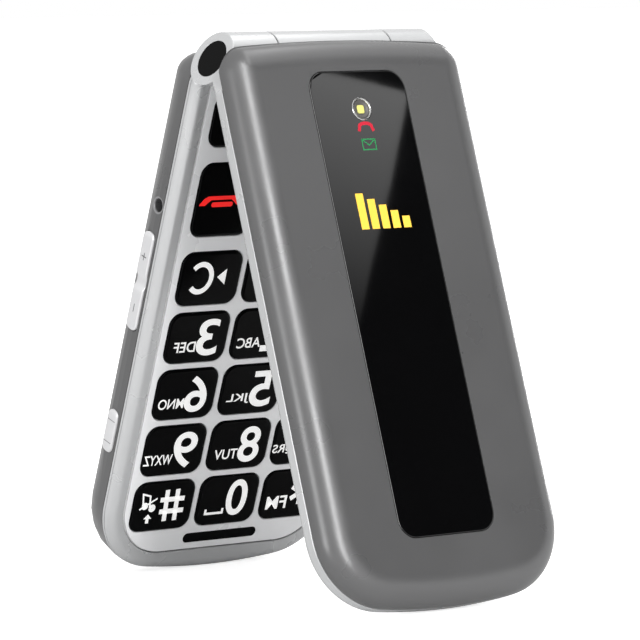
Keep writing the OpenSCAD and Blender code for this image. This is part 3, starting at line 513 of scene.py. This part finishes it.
reflector = Mesh()
bowl = lathe(reflector, [(1.75, 8.0), (1.62, 7.98), (1.45, 7.9), (1.2, 7.78), (1.05, 7.74)], 0, lamp_v)
square = reflector.ring(shifted(rounded(1.5, 1.5, 0.35, 15), 0, lamp_v), 7.72)
reflector.bridge(bowl[-1], square)
reflector.cap(square)
make("lamp_well", reflector.verts, reflector.faces, LID, dark_well, "lid", ["led_lens"])
emitter = Mesh()
pillow(emitter, lambda i: shifted(rounded(1.6 - 2 * i, 1.6 - 2 * i, 0.4 - i, 6), 0, lamp_v),
       7.5, 7.86, 0.15, 0.1)
make("lamp_emitter", emitter.verts, emitter.faces, LID, yellow, "lid", ["flash_led"])

# ---- keypad plate ----

KEYS = [n for n in frame["bodies"] if n.endswith("_key") and n not in ("side_key", "ok_key")
        or n.startswith(("key_", "soft_"))]
KEY_BOX = {n: local_box(n, BASE, -1.6) for n in KEYS + ["nav_rocker", "ok_key"]}


def place_of(node):
    """(x, v, width, length) of a key, from its solid."""
    lo, hi = KEY_BOX[node]
    return (lo[0] + hi[0]) / 2, -(lo[1] + hi[1]) / 2, hi[0] - lo[0], hi[1] - lo[1]


def plate_ring(g):
    """The plate's outline grown by g: notched for the hinge neck, with large corners at the free end."""
    w, r_head, r_toe = plate_half + g, plate_head_r + g, plate_toe_r + g
    v0, v1 = plate_v0 - g, plate_v1 + g
    x, v = neck_half - g, neck_v - g
    return (arc(w - r_head, -v0 - r_head, r_head, 0, 90, 8)
            + [(x + 3, -v0), (x, -v0), (x, -v), (0, -v), (-x, -v), (-x, -v0), (-x - 3, -v0)]
            + arc(r_head - w, -v0 - r_head, r_head, 90, 180, 8)
            + arc(r_toe - w, r_toe - v1, r_toe, 180, 270, 20)
            + arc(w - r_toe, r_toe - v1, r_toe, 270, 360, 20))


def plate_outline(m, grow, z, clear):
    """The plate's outline at a height, ended clear of the room round the barrel."""
    return m.ring(behind_barrel(plate_ring(grow), z, room_r + clear, room_r + clear, knuckle_half), z)


plate = Mesh()
plate_rings = [plate_outline(plate, -g, z, 0.03) for g, z in
               ((0.0, plate_under_z), (0.0, face_z - 0.4), (0.12, face_z - 0.4), (0.12, face_z - 0.08),
                (0.15, face_z - 0.02), (0.2, face_z))]
plate.loft(plate_rings)
holes = []


def opening(x, v, w, l, r):
    """An opening in the plate: soft rim and wall."""
    rim = [plate.ring(shifted(rounded(w + 2 * g, l + 2 * g, r + g), x, v), z) for g, z in
           ((0.16, face_z), (0.06, face_z - 0.02), (0.01, face_z - 0.07), (0.0, face_z - 0.15),
            (0.0, plate_under_z))]
    plate.loft(rim)
    holes.append(rim[0])


for n in KEYS + ["nav_rocker"]:
    x, v, w, l = place_of(n)
    opening(x, v, w + 2 * key_gap, l + 2 * key_gap, key_r + key_gap)
opening(0, strip_v, strip_size[0], strip_size[1], strip_size[1] / 2)
plate.fill(plate_rings[-1], holes)
make("silver_keypad", plate.verts, plate.faces, BASE, silver_plate, "base",
     ["keypad_plate"])

# ---- silver band of the keypad half, with the hinge neck and knuckle ----


def band_ring(m, inset, z):
    pts = split_at(outline(0, inset, base_l), knuckle_half)
    return m.ring(behind_barrel(pts, z, barrel_r - 0.1, room_r, knuckle_half), z)


def edge_at(a, cut=0):
    """(inset, z) on the band's rounded edge at an angle, cut into it by a depth."""
    a = math.radians(a)
    reach = band_r - cut
    return band_r - reach * math.cos(a), face_z - band_r + reach * math.sin(a)


band = Mesh()
line_depth = 0.12
line_at = 16
profile = [(ledge, band_z), (0.3, band_z), (0.3, band_z + 0.13), (0.02, band_z + 0.17),
           edge_at(6), edge_at(11), edge_at(line_at - 2.5), edge_at(line_at - 2, line_depth),
           edge_at(line_at + 2, line_depth), edge_at(line_at + 2.5)]
profile += [edge_at(a) for a in range(22, 91, 4)]
rings = [band_ring(band, inset, z) for inset, z in profile]
band.loft(rings)
seat = [plate_outline(band, grow, z, 0.02) for grow, z in
        ((groove + 0.1, face_z), (groove, face_z - 0.1), (groove, plate_under_z), (-ledge, plate_under_z),
         (-ledge, band_z))]
band.loft(seat)
band.fill(rings[-1], [seat[0]])
band.fill(rings[0], [seat[-1]])


def turned_x(m, sections, n=72):
    """Turned form about the hinge axis from rings: (radius, x at an angle)."""
    rings = []
    for radius, x_at in sections:
        start = len(m.verts)
        for i in range(n):
            a = 2 * math.pi * i / n
            y, z = radius * math.cos(a), radius * math.sin(a)
            m.verts.append((x_at(y, z), y, z))
        rings.append(list(range(start, start + n)))
    m.loft(rings)
    return rings


end_r = 2
sections = ((end_r, -knuckle_half), (barrel_r - end_bevel, -knuckle_half),
            (barrel_r, end_bevel - knuckle_half), (barrel_r, knuckle_half - end_bevel),
            (barrel_r - end_bevel, knuckle_half), (end_r, knuckle_half))
ends = turned_x(band, [(radius, lambda y, z, x=x: x) for radius, x in sections])
band.cap(ends[0])
band.cap(ends[-1])
make("silver_band", band.verts, band.faces, BASE, silver_paint, "base", ["mid_frame"],
     angle=38)

# A near-black strip sunk in the seam between silver band and rear housing: painted shade that darkens the
# gap
seam_shade_strip = Mesh()
strips = [band_ring(seam_shade_strip, inset, z) for inset, z in
          ((0.5, band_z + 0.02), (0.22, band_z + 0.02), (0.22, band_z + 0.16), (0.5, band_z + 0.16))]
seam_shade_strip.loft(strips + strips[:1])
make("base_seam", seam_shade_strip.verts, seam_shade_strip.faces, BASE, painted_seam_shade, "base")

# ---- silver frame of the lid, with its two barrel pieces ----

end_normal = (Matrix.Rotation(math.radians(end_turn), 3, "X")
              @ Vector((math.cos(math.radians(end_tilt)), math.sin(math.radians(end_tilt)), 0)))


def end_x(y, z, sink=0.0):
    """How far the slanted barrel end reaches at a place of its face."""
    return barrel_half - sink - (end_normal.y * y + end_normal.z * z) / end_normal.x


arm_half = knuckle_half + barrel_gap


def frame_ring(m, inset, z):
    pts = split_at(outline(lid_head, inset), arm_half)
    pts = behind_barrel(pts, z, room_r, barrel_r - 0.1, arm_half)
    return m.ring([(math.copysign(min(abs(x), end_x(y, z)), x), y) for x, y in pts], z)


lid_ring = Mesh()
rings = [frame_ring(lid_ring, inset, z) for inset, z in
         ((lid_wall, lid_floor_z), (lid_wall, lid_seam_z), (0.12, lid_seam_z), (0.02, lid_seam_z - 0.1))]
lip_steps = 12
for k in range(lip_steps + 1):
    a = math.radians(90 * k / lip_steps)
    rings.append(frame_ring(lid_ring, lid_lip_r * (1 - math.cos(a)) + 0.02,
                            lid_face + lid_lip_r * (1 - math.sin(a))))
lid_ring.loft(rings)
lo, hi = local_box("display_glass", LID)
glass_w, glass_l = hi[0] - lo[0] + 0.2, hi[1] - lo[1] + 0.2
glass_x, glass_v = (lo[0] + hi[0]) / 2, -(lo[1] + hi[1]) / 2


def glass_ring(grow, r, z):
    return lid_ring.ring(shifted(rounded(glass_w + 2 * grow, glass_l + 2 * grow, r), glass_x, glass_v), z)


recess = [glass_ring(0.08, glass_r + 0.08, lid_face), glass_ring(0, glass_r, lid_face + 0.08),
          glass_ring(0, glass_r, glass_z), glass_ring(-2.5, glass_r - 2, glass_z),
          glass_ring(-2.5, glass_r - 2, lid_floor_z)]
lid_ring.loft(recess)
holes = [recess[0]]
for x, v in bumpers:
    for sx in (x, -x):
        spot = [lid_ring.ring(arc(sx, -v, radius, 0, 345, 23), z) for radius, z in
                ((bumper_r + 0.06, lid_face), (bumper_r, lid_face + 0.06), (bumper_r, lid_floor_z - 0.1))]
        lid_ring.loft(spot)
        lid_ring.cap(spot[-1])
        holes.append(spot[0])
lid_ring.fill(rings[-1], holes)
lid_ring.fill(rings[0], [recess[-1]])
for sx in (1, -1):
    sections = [(end_r, lambda y, z: sx * arm_half), (barrel_r - end_bevel, lambda y, z: sx * arm_half),
                (barrel_r, lambda y, z: sx * (arm_half + end_bevel)),
                (barrel_r, lambda y, z: sx * end_x(y, z, 0.16))]
    sections += [(radius, lambda y, z, sink=sink: sx * end_x(y, z, sink)) for radius, sink in
                 ((barrel_r - 0.05, 0.05), (barrel_r - 0.16, 0), (disc_r + 0.1, 0), (disc_r, 0.08),
                  (disc_r, 1.2))]
    ends = turned_x(lid_ring, sections)
    lid_ring.cap(ends[0])
    lid_ring.cap(ends[-1])
make("silver_lid_frame", lid_ring.verts, lid_ring.faces, LID, silver_paint, "lid",
     ["lid_frame"], angle=38)

# ---- side keys and headset socket: X up the wall, Y towards the hinge, Z out of the wall ----

SIDE = BASE @ Matrix(((0, 0, -1, -half_w), (0, 1, 0, 0), (1, 0, 0, 0), (0, 0, 0, 1)))
side_edge = 0.3
side_depth = 1.4


def side_key_form(node, dip):
    """Long key with rounded ends and shoulders, its middle hollowed by dip. Returns (v, reach)."""
    lo, hi = local_box(node, BASE)
    length, v_mid = hi[1] - lo[1], -(lo[1] + hi[1]) / 2
    proud = -half_w - lo[0] - 0.02
    high = side_key_high[node]
    r_end = high / 2 - 0.3
    m = Mesh()
    n = 72
    for i in range(n + 1):
        y = length / 2 * math.sin(math.pi * (i / n - 0.5))
        over = max(0, abs(y) - (length / 2 - r_end))
        hw = high / 2 - (r_end - math.sqrt(max(0, r_end * r_end - over * over)))
        top = proud - dip * math.exp(-(y / 1.25) ** 4) - 0.3 * (over / r_end) ** 3
        left = [(-hw, -side_depth), (-hw, top - side_edge)]
        for a in (0.4, 0.8, 1.2, math.pi / 2):
            left.append((-hw + side_edge * (1 - math.cos(a)), top - side_edge * (1 - math.sin(a))))
        m.verts += [(side_z + q[0], y - v_mid, q[1]) for q in left]
        m.verts += [(side_z - q[0], y - v_mid, q[1]) for q in reversed(left)]
    k = 2 * len(left)
    for i in range(n):
        m.faces += [(i * k + j, i * k + (j + 1) % k, (i + 1) * k + (j + 1) % k, (i + 1) * k + j)
                    for j in range(k)]
    m.faces += [tuple(range(k)), tuple(range(n * k, (n + 1) * k))]
    make(node + "_cap", m.verts, m.faces, SIDE, side_silver, node, [node], angle=50)
    return v_mid, proud


rocker_v, rocker_proud = side_key_form("volume_rocker", 0.55)
side_v, side_proud = side_key_form("side_key", 0)
socket = Mesh()
jack_lo, jack_hi = local_box("headset_jack", BASE)
jack_v = -(jack_lo[1] + jack_hi[1]) / 2
lathe(socket, [(1.25, -2.5), (1.25, -0.28), (1.3, -0.1), (1.4, -0.01), (1.55, 0.03), (1.66, 0.02),
               (1.7, -0.2)], 0, 0, 40)
socket.verts = [(p[0] + jack_z, p[1] - jack_v, p[2]) for p in socket.verts]
make("socket_ring", socket.verts, socket.faces, SIDE, ring_grey, "base")

# ---- keys ----

key_rim = (0.55, 0.26)
key_foot_z = -1.78
flange_z = -2.15
flange_w = 0.4


def key_shape(node):
    """A key's outline drawn in by an inset, as a function of it."""
    x, v, w, l = place_of(node)
    return lambda inset: shifted(rounded(w - 2 * inset, l - 2 * inset, key_r - inset), x, v)


for n in KEYS:
    key = Mesh()
    shape = key_shape(n)
    flange = [key.ring(shape(-flange_w), flange_z), key.ring(shape(-flange_w), key_foot_z),
              key.ring(shape(0.0), key_foot_z)]
    key.cap(flange[0])
    key.loft(flange)
    pillow(key, shape, key_foot_z, key_top_z, *key_rim, steps=6)
    make(n + "_cap", key.verts, key.faces, BASE, key_black, n, [n])

x, v, w, l = place_of("nav_rocker")
nav = Mesh()
nav_foot_z = -1.7
nav_hole = 8.6
nav_hole_r = 2.7
outer_top = pillow(nav, key_shape("nav_rocker"), nav_foot_z, key_top_z, *key_rim, steps=6, cap=False)
inner = [nav.ring(shifted(rounded(nav_hole + 2 * g, nav_hole + 2 * g, nav_hole_r + g), x, v), z) for g, z in
         ((0.3, key_top_z), (0.1, key_top_z - 0.04), (0.0, key_top_z - 0.14), (0.0, nav_foot_z))]
nav.loft(inner)
nav.fill(outer_top, [inner[0]])
make("nav_rocker_cap", nav.verts, nav.faces, BASE, key_black, "nav_rocker", ["nav_rocker"])

x, v, w, l = place_of("ok_key")
ok = Mesh()
ok_top_z = key_top_z + 0.1
ok_dish = 0.14
ok_dish_w = 3.2
dish = [pillow(ok, key_shape("ok_key"), -2.1, ok_top_z, 0.5, 0.22, steps=6, cap=False)]
for d in (0.6, 1.3, 2.0, 2.7):
    ring = shifted(rounded(w - 1 - 2 * d, l - 1 - 2 * d, max(key_r - 0.5 - d * 0.6, 0.3)), x, v)
    dish.append(ok.ring(ring, ok_top_z - ok_dish * (1 - (1 - d / ok_dish_w) ** 2)))
ok.loft(dish)
ok.cap(dish[-1])
make("ok_key_cap", ok.verts, ok.faces, BASE, key_silver, "ok_key", ["ok_key"])

# ---- the other solids keep their shape and get a finish ----

for name, mat in NODE_MATERIALS.items():
    o = NODES[name]
    o.data.materials.clear()
    o.data.materials.append(mat)
    for p in o.data.polygons:
        p.use_smooth = True
        p.material_index = 0
    weld = o.modifiers.new("weld", "WELD")
    weld.merge_threshold = 0.000004
    flat = o.modifiers.new("flat", "DECIMATE")
    flat.decimate_type = "DISSOLVE"
    flat.angle_limit = math.radians(0.6)
    if name != "rear_housing":
        bevel = o.modifiers.new("bevel", "BEVEL")
        bevel.width = 0.00008
        bevel.segments = 2
        bevel.limit_method = "ANGLE"
        bevel.angle_limit = math.radians(40)
        bevel.use_clamp_overlap = True
    split = o.modifiers.new("split", "EDGE_SPLIT")
    split.split_angle = math.radians(32)
    split.use_edge_sharp = False
    w = o.modifiers.new("weighted", "WEIGHTED_NORMAL")
    w.keep_sharp = True

# ---- legends ----


def sheet_of(name, shape, x, v, z, place, mat, body, mirror=False):
    """A printed mark from flat (points, faces) about its middle, x right and y towards the hinge."""
    s = -1 if mirror else 1
    top = [(x + s * p[0], p[1] - v, z + print_t) for p in shape[0]]
    make(name, top, shape[1], place, mat, body)


def key_mark(name, shape, node, dx=0, dv=0, mat=white_print_painted_glow, mirror=False):
    """A mark on a black key, dx and dv from its middle."""
    x, v = place_of(node)[:2]
    sheet_of(name, shape, x + dx, v + dv, z_print, BASE, mat, node, mirror)


def key_text(name, text, node, dx, dv, w, h, bold=0.014):
    """Printed characters that fill a box w by h on a black key."""
    curve = bpy.data.curves.new(name, "FONT")
    curve.body = text
    curve.offset = bold
    curve.resolution_u = 8
    temp = bpy.data.objects.new(name + "_temp", curve)
    bpy.context.scene.collection.objects.link(temp)
    bpy.context.view_layer.update()
    mesh = bpy.data.meshes.new_from_object(temp.evaluated_get(bpy.context.evaluated_depsgraph_get()))
    bpy.data.objects.remove(temp)
    xs = [p.co.x for p in mesh.vertices]
    ys = [p.co.y for p in mesh.vertices]
    cx, cy = (min(xs) + max(xs)) / 2, (min(ys) + max(ys)) / 2
    sx, sy = w / (max(xs) - min(xs)), h / (max(ys) - min(ys))
    pts = [((p.co.x - cx) * sx, (p.co.y - cy) * sy) for p in mesh.vertices]
    faces = [tuple(p.vertices) for p in mesh.polygons]
    bpy.data.meshes.remove(mesh)
    bpy.data.curves.remove(curve)
    key_mark(name, (pts, faces), node, dx, dv, mirror=True)


def strip(points, width, closed=False):
    """Flat ribbon along points, with mitred corners: (points, faces)."""
    n = len(points)
    pts, faces = [], []
    for i, p in enumerate(points):
        a = Vector(points[(i - 1) % n] if closed or i else p)
        b = Vector(points[(i + 1) % n] if closed or i < n - 1 else p)
        c = Vector(p)
        d0 = (c - a).normalized() if (c - a).length else (b - c).normalized()
        d1 = (b - c).normalized() if (b - c).length else d0
        t = (d0 + d1).normalized()
        normal = Vector((-t.y, t.x))
        k = width / 2 / max(0.5, normal.dot(Vector((-d0.y, d0.x))))
        pts += [tuple(c + normal * k), tuple(c - normal * k)]
    for i in range(n if closed else n - 1):
        j = (i + 1) % n
        faces.append((2 * i, 2 * i + 1, 2 * j + 1, 2 * j))
    return pts, faces


def joined(parts):
    pts, faces = [], []
    for p, f in parts:
        k = len(pts)
        pts += p
        faces += [tuple(i + k for i in g) for g in f]
    return pts, faces


def flat(pts):
    """One face from points: (points, faces)."""
    return pts, [tuple(range(len(pts)))]


z_print = key_top_z + 0.004
digit_dx, digit_h = 2.35, 7.5
group_dx, group_dv, group_h = -0.2, 1.75, 2.1
DIGITS = {"3": 4.9, "2": 4.9, "1": 2.9, "6": 5.1, "5": 5.1, "4": 5.3, "9": 5.4, "8": 5.0, "7": 4.8}
GROUPS = {"3": ("DEF", 5.0), "2": ("ABC", 5.6), "6": ("MNO", 5.9), "5": ("JKL", 5.3), "4": ("GHI", 4.9),
          "9": ("WXYZ", 6.6), "8": ("TUV", 5.4), "7": ("PQRS", 6.8)}
for d, w in DIGITS.items():
    key_text("digit_" + d, d, "key_" + d, digit_dx, 0, w, digit_h)
    if d in GROUPS:
        text, w = GROUPS[d]
        key_text("group_" + d, text, "key_" + d, group_dx - w / 2, group_dv, w, group_h, bold=0.012)
key_text("digit_0", "0", "key_0", 2.0, -0.4, 4.9, 7.6)
tray = [(-2.0, 0.55), (-2.0, -0.4), (2.0, -0.4), (2.0, 0.55)]
key_mark("space_mark", strip(tray, 0.5), "key_0", -2.9, 2.2)
bars = [strip(ends, 1.0) for ends in
        ([(-0.85, 3.3), (-1.25, -3.3)], [(1.55, 3.3), (1.15, -3.3)],
         [(-2.75, 1.25), (2.85, 1.25)], [(-2.95, -1.25), (2.65, -1.25)])]
key_mark("hash_mark", joined(bars), "key_hash", 1.95, -0.1, mirror=True)
note = [strip(arc(-1.0, -1.1, 0.45, 0, 360, 14), 0.7), strip(arc(0.75, -0.55, 0.42, 0, 360, 14), 0.66),
        strip([(-0.45, -1.0), (-0.15, 1.5), (1.6, 2.0), (1.2, -0.4)], 0.36),
        strip([(-1.9, 0.9), (1.9, -1.2)], 0.34)]
key_mark("quiet_mark", joined(note), "key_hash", -3.6, -0.9, mirror=True)
arrow = [(0, 0.95), (0.95, 0.0), (0.35, 0.0), (0.35, -0.95), (-0.35, -0.95), (-0.35, 0.0), (-0.95, 0.0)]
key_mark("up_mark", flat(arrow), "key_hash", -3.2, 2.4)
star = [strip([(0, 0), (2.6 * math.cos(math.radians(a)), 2.6 * math.sin(math.radians(a)))], 1.0)
        for a in (90, 210, 330, 30, 150, 270)]
key_mark("star_mark", joined(star), "key_star", 2.2, -0.2)
key_text("radio_mark", "FM", "key_star", -3.3, 1.6, 4.9, 2.75)
open_ring = [(p[0] * 0.93, p[1] * 1.05) for p in arc(0, 0, 2.65, 42, 318, 26)]
key_mark("clear_mark", strip(open_ring, 1.02), "clear_key", -2.25, -0.25, mirror=True)
key_mark("back_mark", flat([(-1.0, 0), (1.0, 1.6), (1.0, -1.6)]), "clear_key", 2.55, -0.3)
# A handset lying flat: an arch with two flared ends, over a bar
half_handset = [(0, 0), (3.1, 0), (4.0, -0.45), (4.9, -1.55), (4.93, -1.85), (3.6, -1.85), (3.0, -1.25),
                (2.3, -0.75), (0, -0.75)]
handset = half_handset + [(-p[0], p[1]) for p in reversed(half_handset[1:-1])]
for node, mat in (("end_key", red_print_painted_glow), ("call_key", print_green)):
    key_mark(node + "_handset", flat(handset), node, -1.1, -0.85, mat)
    key_mark(node + "_handset_bar", flat(rounded(4.9, 0.95, 0.42, 6)), node, -0.8, 0.85, mat)
key_mark("menu_mark", joined([strip([(-2.3, y), (2.3, y)], 0.55) for y in (1.4, 0, -1.4)]), "menu_key")


def envelope(s, width):
    """Envelope 2 s wide in lines of a width."""
    low = 0.66 * s
    edge = strip([(-s, -low), (s, -low), (s, low), (-s, low)], width, closed=True)
    return joined([edge, strip([(-s, low), (0, -0.1 * s), (s, low)], width)])


key_mark("message_mark", envelope(2.5, 0.45), "message_key")
for node in ("soft_left", "soft_right"):
    key_mark(node + "_mark", strip([(-2.0, 0), (2.0, 0)], 0.6), node)
for i, (dv, a) in enumerate(((-9.5, 90), (9.5, 270))):
    corners = [(1.3 * math.cos(math.radians(a + t)), 1.3 * math.sin(math.radians(a + t)))
               for t in (0, 120, 240)]
    key_mark("nav_arrow_%d" % i, flat(corners), "nav_rocker", 0, dv)
x, v = place_of("ok_key")[:2]
circle = strip(arc(0, 0, 1.5, 0, 360, 40)[:-1], 0.4, closed=True)
sheet_of("ok_mark", circle, x, v, key_top_z, BASE, print_grey, "ok_key")

cross = joined([strip([(-0.75, 0), (0.75, 0)], 0.2), strip([(0, -0.75), (0, 0.75)], 0.2)])
dash = strip([(0, -0.8), (0, 0.8)], 0.2)
line = strip([(-1.2, 0), (1.2, 0)], 0.13)
for name, shape, v, proud, node in (("plus_mark", cross, rocker_v - 4.9, rocker_proud, "volume_rocker"),
                                    ("minus_mark", dash, rocker_v + 5.4, rocker_proud, "volume_rocker"),
                                    ("side_line_0", line, side_v - 2.2, side_proud, "side_key"),
                                    ("side_line_1", line, side_v + 2.2, side_proud, "side_key")):
    sheet_of(name, shape, side_z, v, proud, SIDE, print_grey, node)

# ---- marks on the outer panel ----

arch = [(-1.7, -0.95), (-1.45, -0.35)] + [(1.5 * math.cos(a), 0.75 * math.sin(a) - 0.2) for a in
                                          (2.7, 2.4, 2.1, 1.8, 1.57, 1.34, 1.04, 0.74, 0.44)]
arch += [(1.45, -0.35), (1.7, -0.95)]
bar_w, bar_pitch, bar_foot = 1.75, 2.45, -3.3
bars = []
for i in range(5):
    x0 = -5.9 + i * bar_pitch
    bar_top = bar_foot + (2.2 + 1.15 * i)
    bars.append(flat([(x0, bar_foot), (x0 + bar_w, bar_foot), (x0 + bar_w, bar_top), (x0, bar_top)]))
for name, shape, v, mat, mirror in (("call_lamp", strip(arch, 0.66), 16.0, icon_red, False),
                                    ("message_lamp", envelope(1.5, 0.24), 19.5, icon_green, False),
                                    ("signal_mark", joined(bars), 32.2, icon_amber, True)):
    sheet_of(name, shape, 0, v, lid_top_z, LID, mat, "lid", mirror)

# ---- studio ----

scene = bpy.context.scene
scene.view_settings.view_transform = "Standard"


def plane(name, size, location, facing, mat):
    mesh = bpy.data.meshes.new(name)
    h, w = size[1] / 2, size[0] / 2
    mesh.from_pydata([(-w, -h, 0), (w, -h, 0), (w, h, 0), (-w, h, 0)], [], [(0, 1, 2, 3)])
    mesh.materials.append(mat)
    o = bpy.data.objects.new(name, mesh)
    scene.collection.objects.link(o)
    o.location = location
    o.rotation_euler = Vector(facing).to_track_quat("Z", "Y").to_euler()
    return o


def shown_white(tree, strength):
    """1 for rays from the camera, mirrors and glass, strength for the rest."""
    path = tree.nodes.new("ShaderNodeLightPath")
    add = tree.nodes.new("ShaderNodeMath")
    add.operation = "ADD"
    tree.links.new(path.outputs["Is Camera Ray"], add.inputs[0])
    tree.links.new(path.outputs["Is Glossy Ray"], add.inputs[1])
    add2 = tree.nodes.new("ShaderNodeMath")
    add2.operation = "ADD"
    add2.use_clamp = True
    tree.links.new(add.outputs[0], add2.inputs[0])
    tree.links.new(path.outputs["Is Transmission Ray"], add2.inputs[1])
    out = tree.nodes.new("ShaderNodeMapRange")
    out.inputs["To Min"].default_value = strength
    out.inputs["To Max"].default_value = 1.0
    tree.links.new(add2.outputs[0], out.inputs["Value"])
    return out.outputs["Result"]


world = bpy.data.worlds.new("world")
world.use_nodes = True
scene.world = world
background = world.node_tree.nodes["Background"]
background.inputs["Color"].default_value = (1, 1, 1, 1)
world.node_tree.links.new(shown_white(world.node_tree, 0.85), background.inputs["Strength"])

floor_mat = bpy.data.materials.new("floor")
floor_mat.use_nodes = True
tree = floor_mat.node_tree
shader = tree.nodes["Principled BSDF"]
shader.inputs["Base Color"].default_value = (0.8, 0.8, 0.8, 1)
shader.inputs["Roughness"].default_value = 0.9
shader.inputs["Emission Color"].default_value = (1, 1, 1, 1)
path = tree.nodes.new("ShaderNodeLightPath")
lift = tree.nodes.new("ShaderNodeMapRange")
lift.inputs["To Min"].default_value = 0.0
lift.inputs["To Max"].default_value = 0.66
tree.links.new(path.outputs["Is Camera Ray"], lift.inputs["Value"])
tree.links.new(lift.outputs["Result"], shader.inputs["Emission Strength"])
plane("floor", (8, 8), (0, 0, 0), (0, 0, 1), floor_mat)


def lamp(name, location, aim, size, radiance):
    """Rectangular soft light of a radiance, as a lit card."""
    data = bpy.data.lights.new(name, "AREA")
    data.shape = "RECTANGLE"
    data.size, data.size_y = size
    data.energy = radiance * math.pi * size[0] * size[1]
    o = bpy.data.objects.new(name, data)
    scene.collection.objects.link(o)
    o.location = location
    o.rotation_euler = (Vector(location) - Vector(aim)).to_track_quat("Z", "Y").to_euler()


def mirrored(normal):
    """Direction that a surface of a normal shows to the camera."""
    n = Vector(normal).normalized()
    return (2 * n.dot(back) * n - back).normalized()


# Two tall lamps stand where the lid's rounded sides, at these slants, mirror them to the camera
middle = Vector((0, 0, 0.05))
lid_turn = LID.to_3x3()
left_slant = Vector((-0.39, 0, 0.92))
right_slant = Vector((0.62, 0, 0.78))
lamp_far = 0.7
lamp("left_edge", middle + mirrored(lid_turn @ left_slant) * lamp_far, middle, (0.12, 0.75), 13.0)
lamp("right_edge", middle + mirrored(lid_turn @ right_slant) * lamp_far, middle, (0.14, 0.75), 11.0)
lamp("left", (-0.62, -0.32, 0.14), middle, (0.22, 0.3), 5.0)
lamp("top", (0.3, -0.1, 0.7), middle, (0.8, 0.1), 3.0)


def glow_material(name, top, low):
    """Card that fades along its own Y from one strength to another."""
    m = bpy.data.materials.new(name)
    m.use_nodes = True
    tree = m.node_tree
    shader = tree.nodes["Principled BSDF"]
    shader.inputs["Base Color"].default_value = (0.003, 0.003, 0.003, 1)
    shader.inputs["Roughness"].default_value = 1.0
    shader.inputs["Specular IOR Level"].default_value = 0.0
    shader.inputs["Emission Color"].default_value = (1, 1, 1, 1)
    coord = tree.nodes.new("ShaderNodeTexCoord")
    split = tree.nodes.new("ShaderNodeSeparateXYZ")
    ramp = tree.nodes.new("ShaderNodeMapRange")
    tree.links.new(coord.outputs["Generated"], split.inputs["Vector"])
    tree.links.new(split.outputs["Y"], ramp.inputs["Value"])
    ramp.inputs["To Min"].default_value = low
    ramp.inputs["To Max"].default_value = top
    tree.links.new(ramp.outputs["Result"], shader.inputs["Emission Strength"])
    return m


# A dark card where the panel looks, and before it a glowing one whose edge gives the slanting
# reflection. Both are placed by pixels of the photograph: the look, and the glowing card's corners.
look_pixel = (380, 300)
window_pixels = ((350, 345), (415, 92), (240, 40), (175, 300))
look_v = 49
card_far = 0.5
panel_normal = (lid_turn @ Vector((0, 0, 1))).normalized()
panel_point = LID @ Vector((0, -look_v, lid_top_z))


def seen_in_panel(px, py, card_point, card_normal):
    """Where the panel, at a pixel of the photograph, shows a card."""
    ray = pixel_ray(px, py)
    hit = intersect_line_plane(camera.location, camera.location + ray, panel_point, panel_normal)
    out = ray.reflect(panel_normal)
    return intersect_line_plane(hit, hit + out, card_point, card_normal)


look = pixel_ray(*look_pixel).reflect(panel_normal)
card_at = panel_point + look * card_far
flag_mat = glow_material("flag", 0.0, 0.0)
flag = plane("flag", (0.5, 0.5), card_at + look * 0.05, -look, flag_mat)
corners = [seen_in_panel(px, py, card_at, look) for px, py in window_pixels]
mesh = bpy.data.meshes.new("window")
centre = sum(corners, Vector()) / 4
y_axis = (corners[1] - corners[0]).normalized()
z_axis = -look
x_axis = y_axis.cross(z_axis).normalized()
turn = Matrix((x_axis, y_axis, z_axis)).transposed()
mesh.from_pydata([turn.transposed() @ (c - centre) for c in corners], [], [(0, 1, 2, 3)])
mesh.materials.append(glow_material("window_glow", 2.6, 0.0))
window = bpy.data.objects.new("window", mesh)
scene.collection.objects.link(window)
window.location = centre
window.rotation_euler = turn.to_euler()
for card in (flag, window):
    card.visible_camera = False
    card.visible_diffuse = False
    card.visible_shadow = False
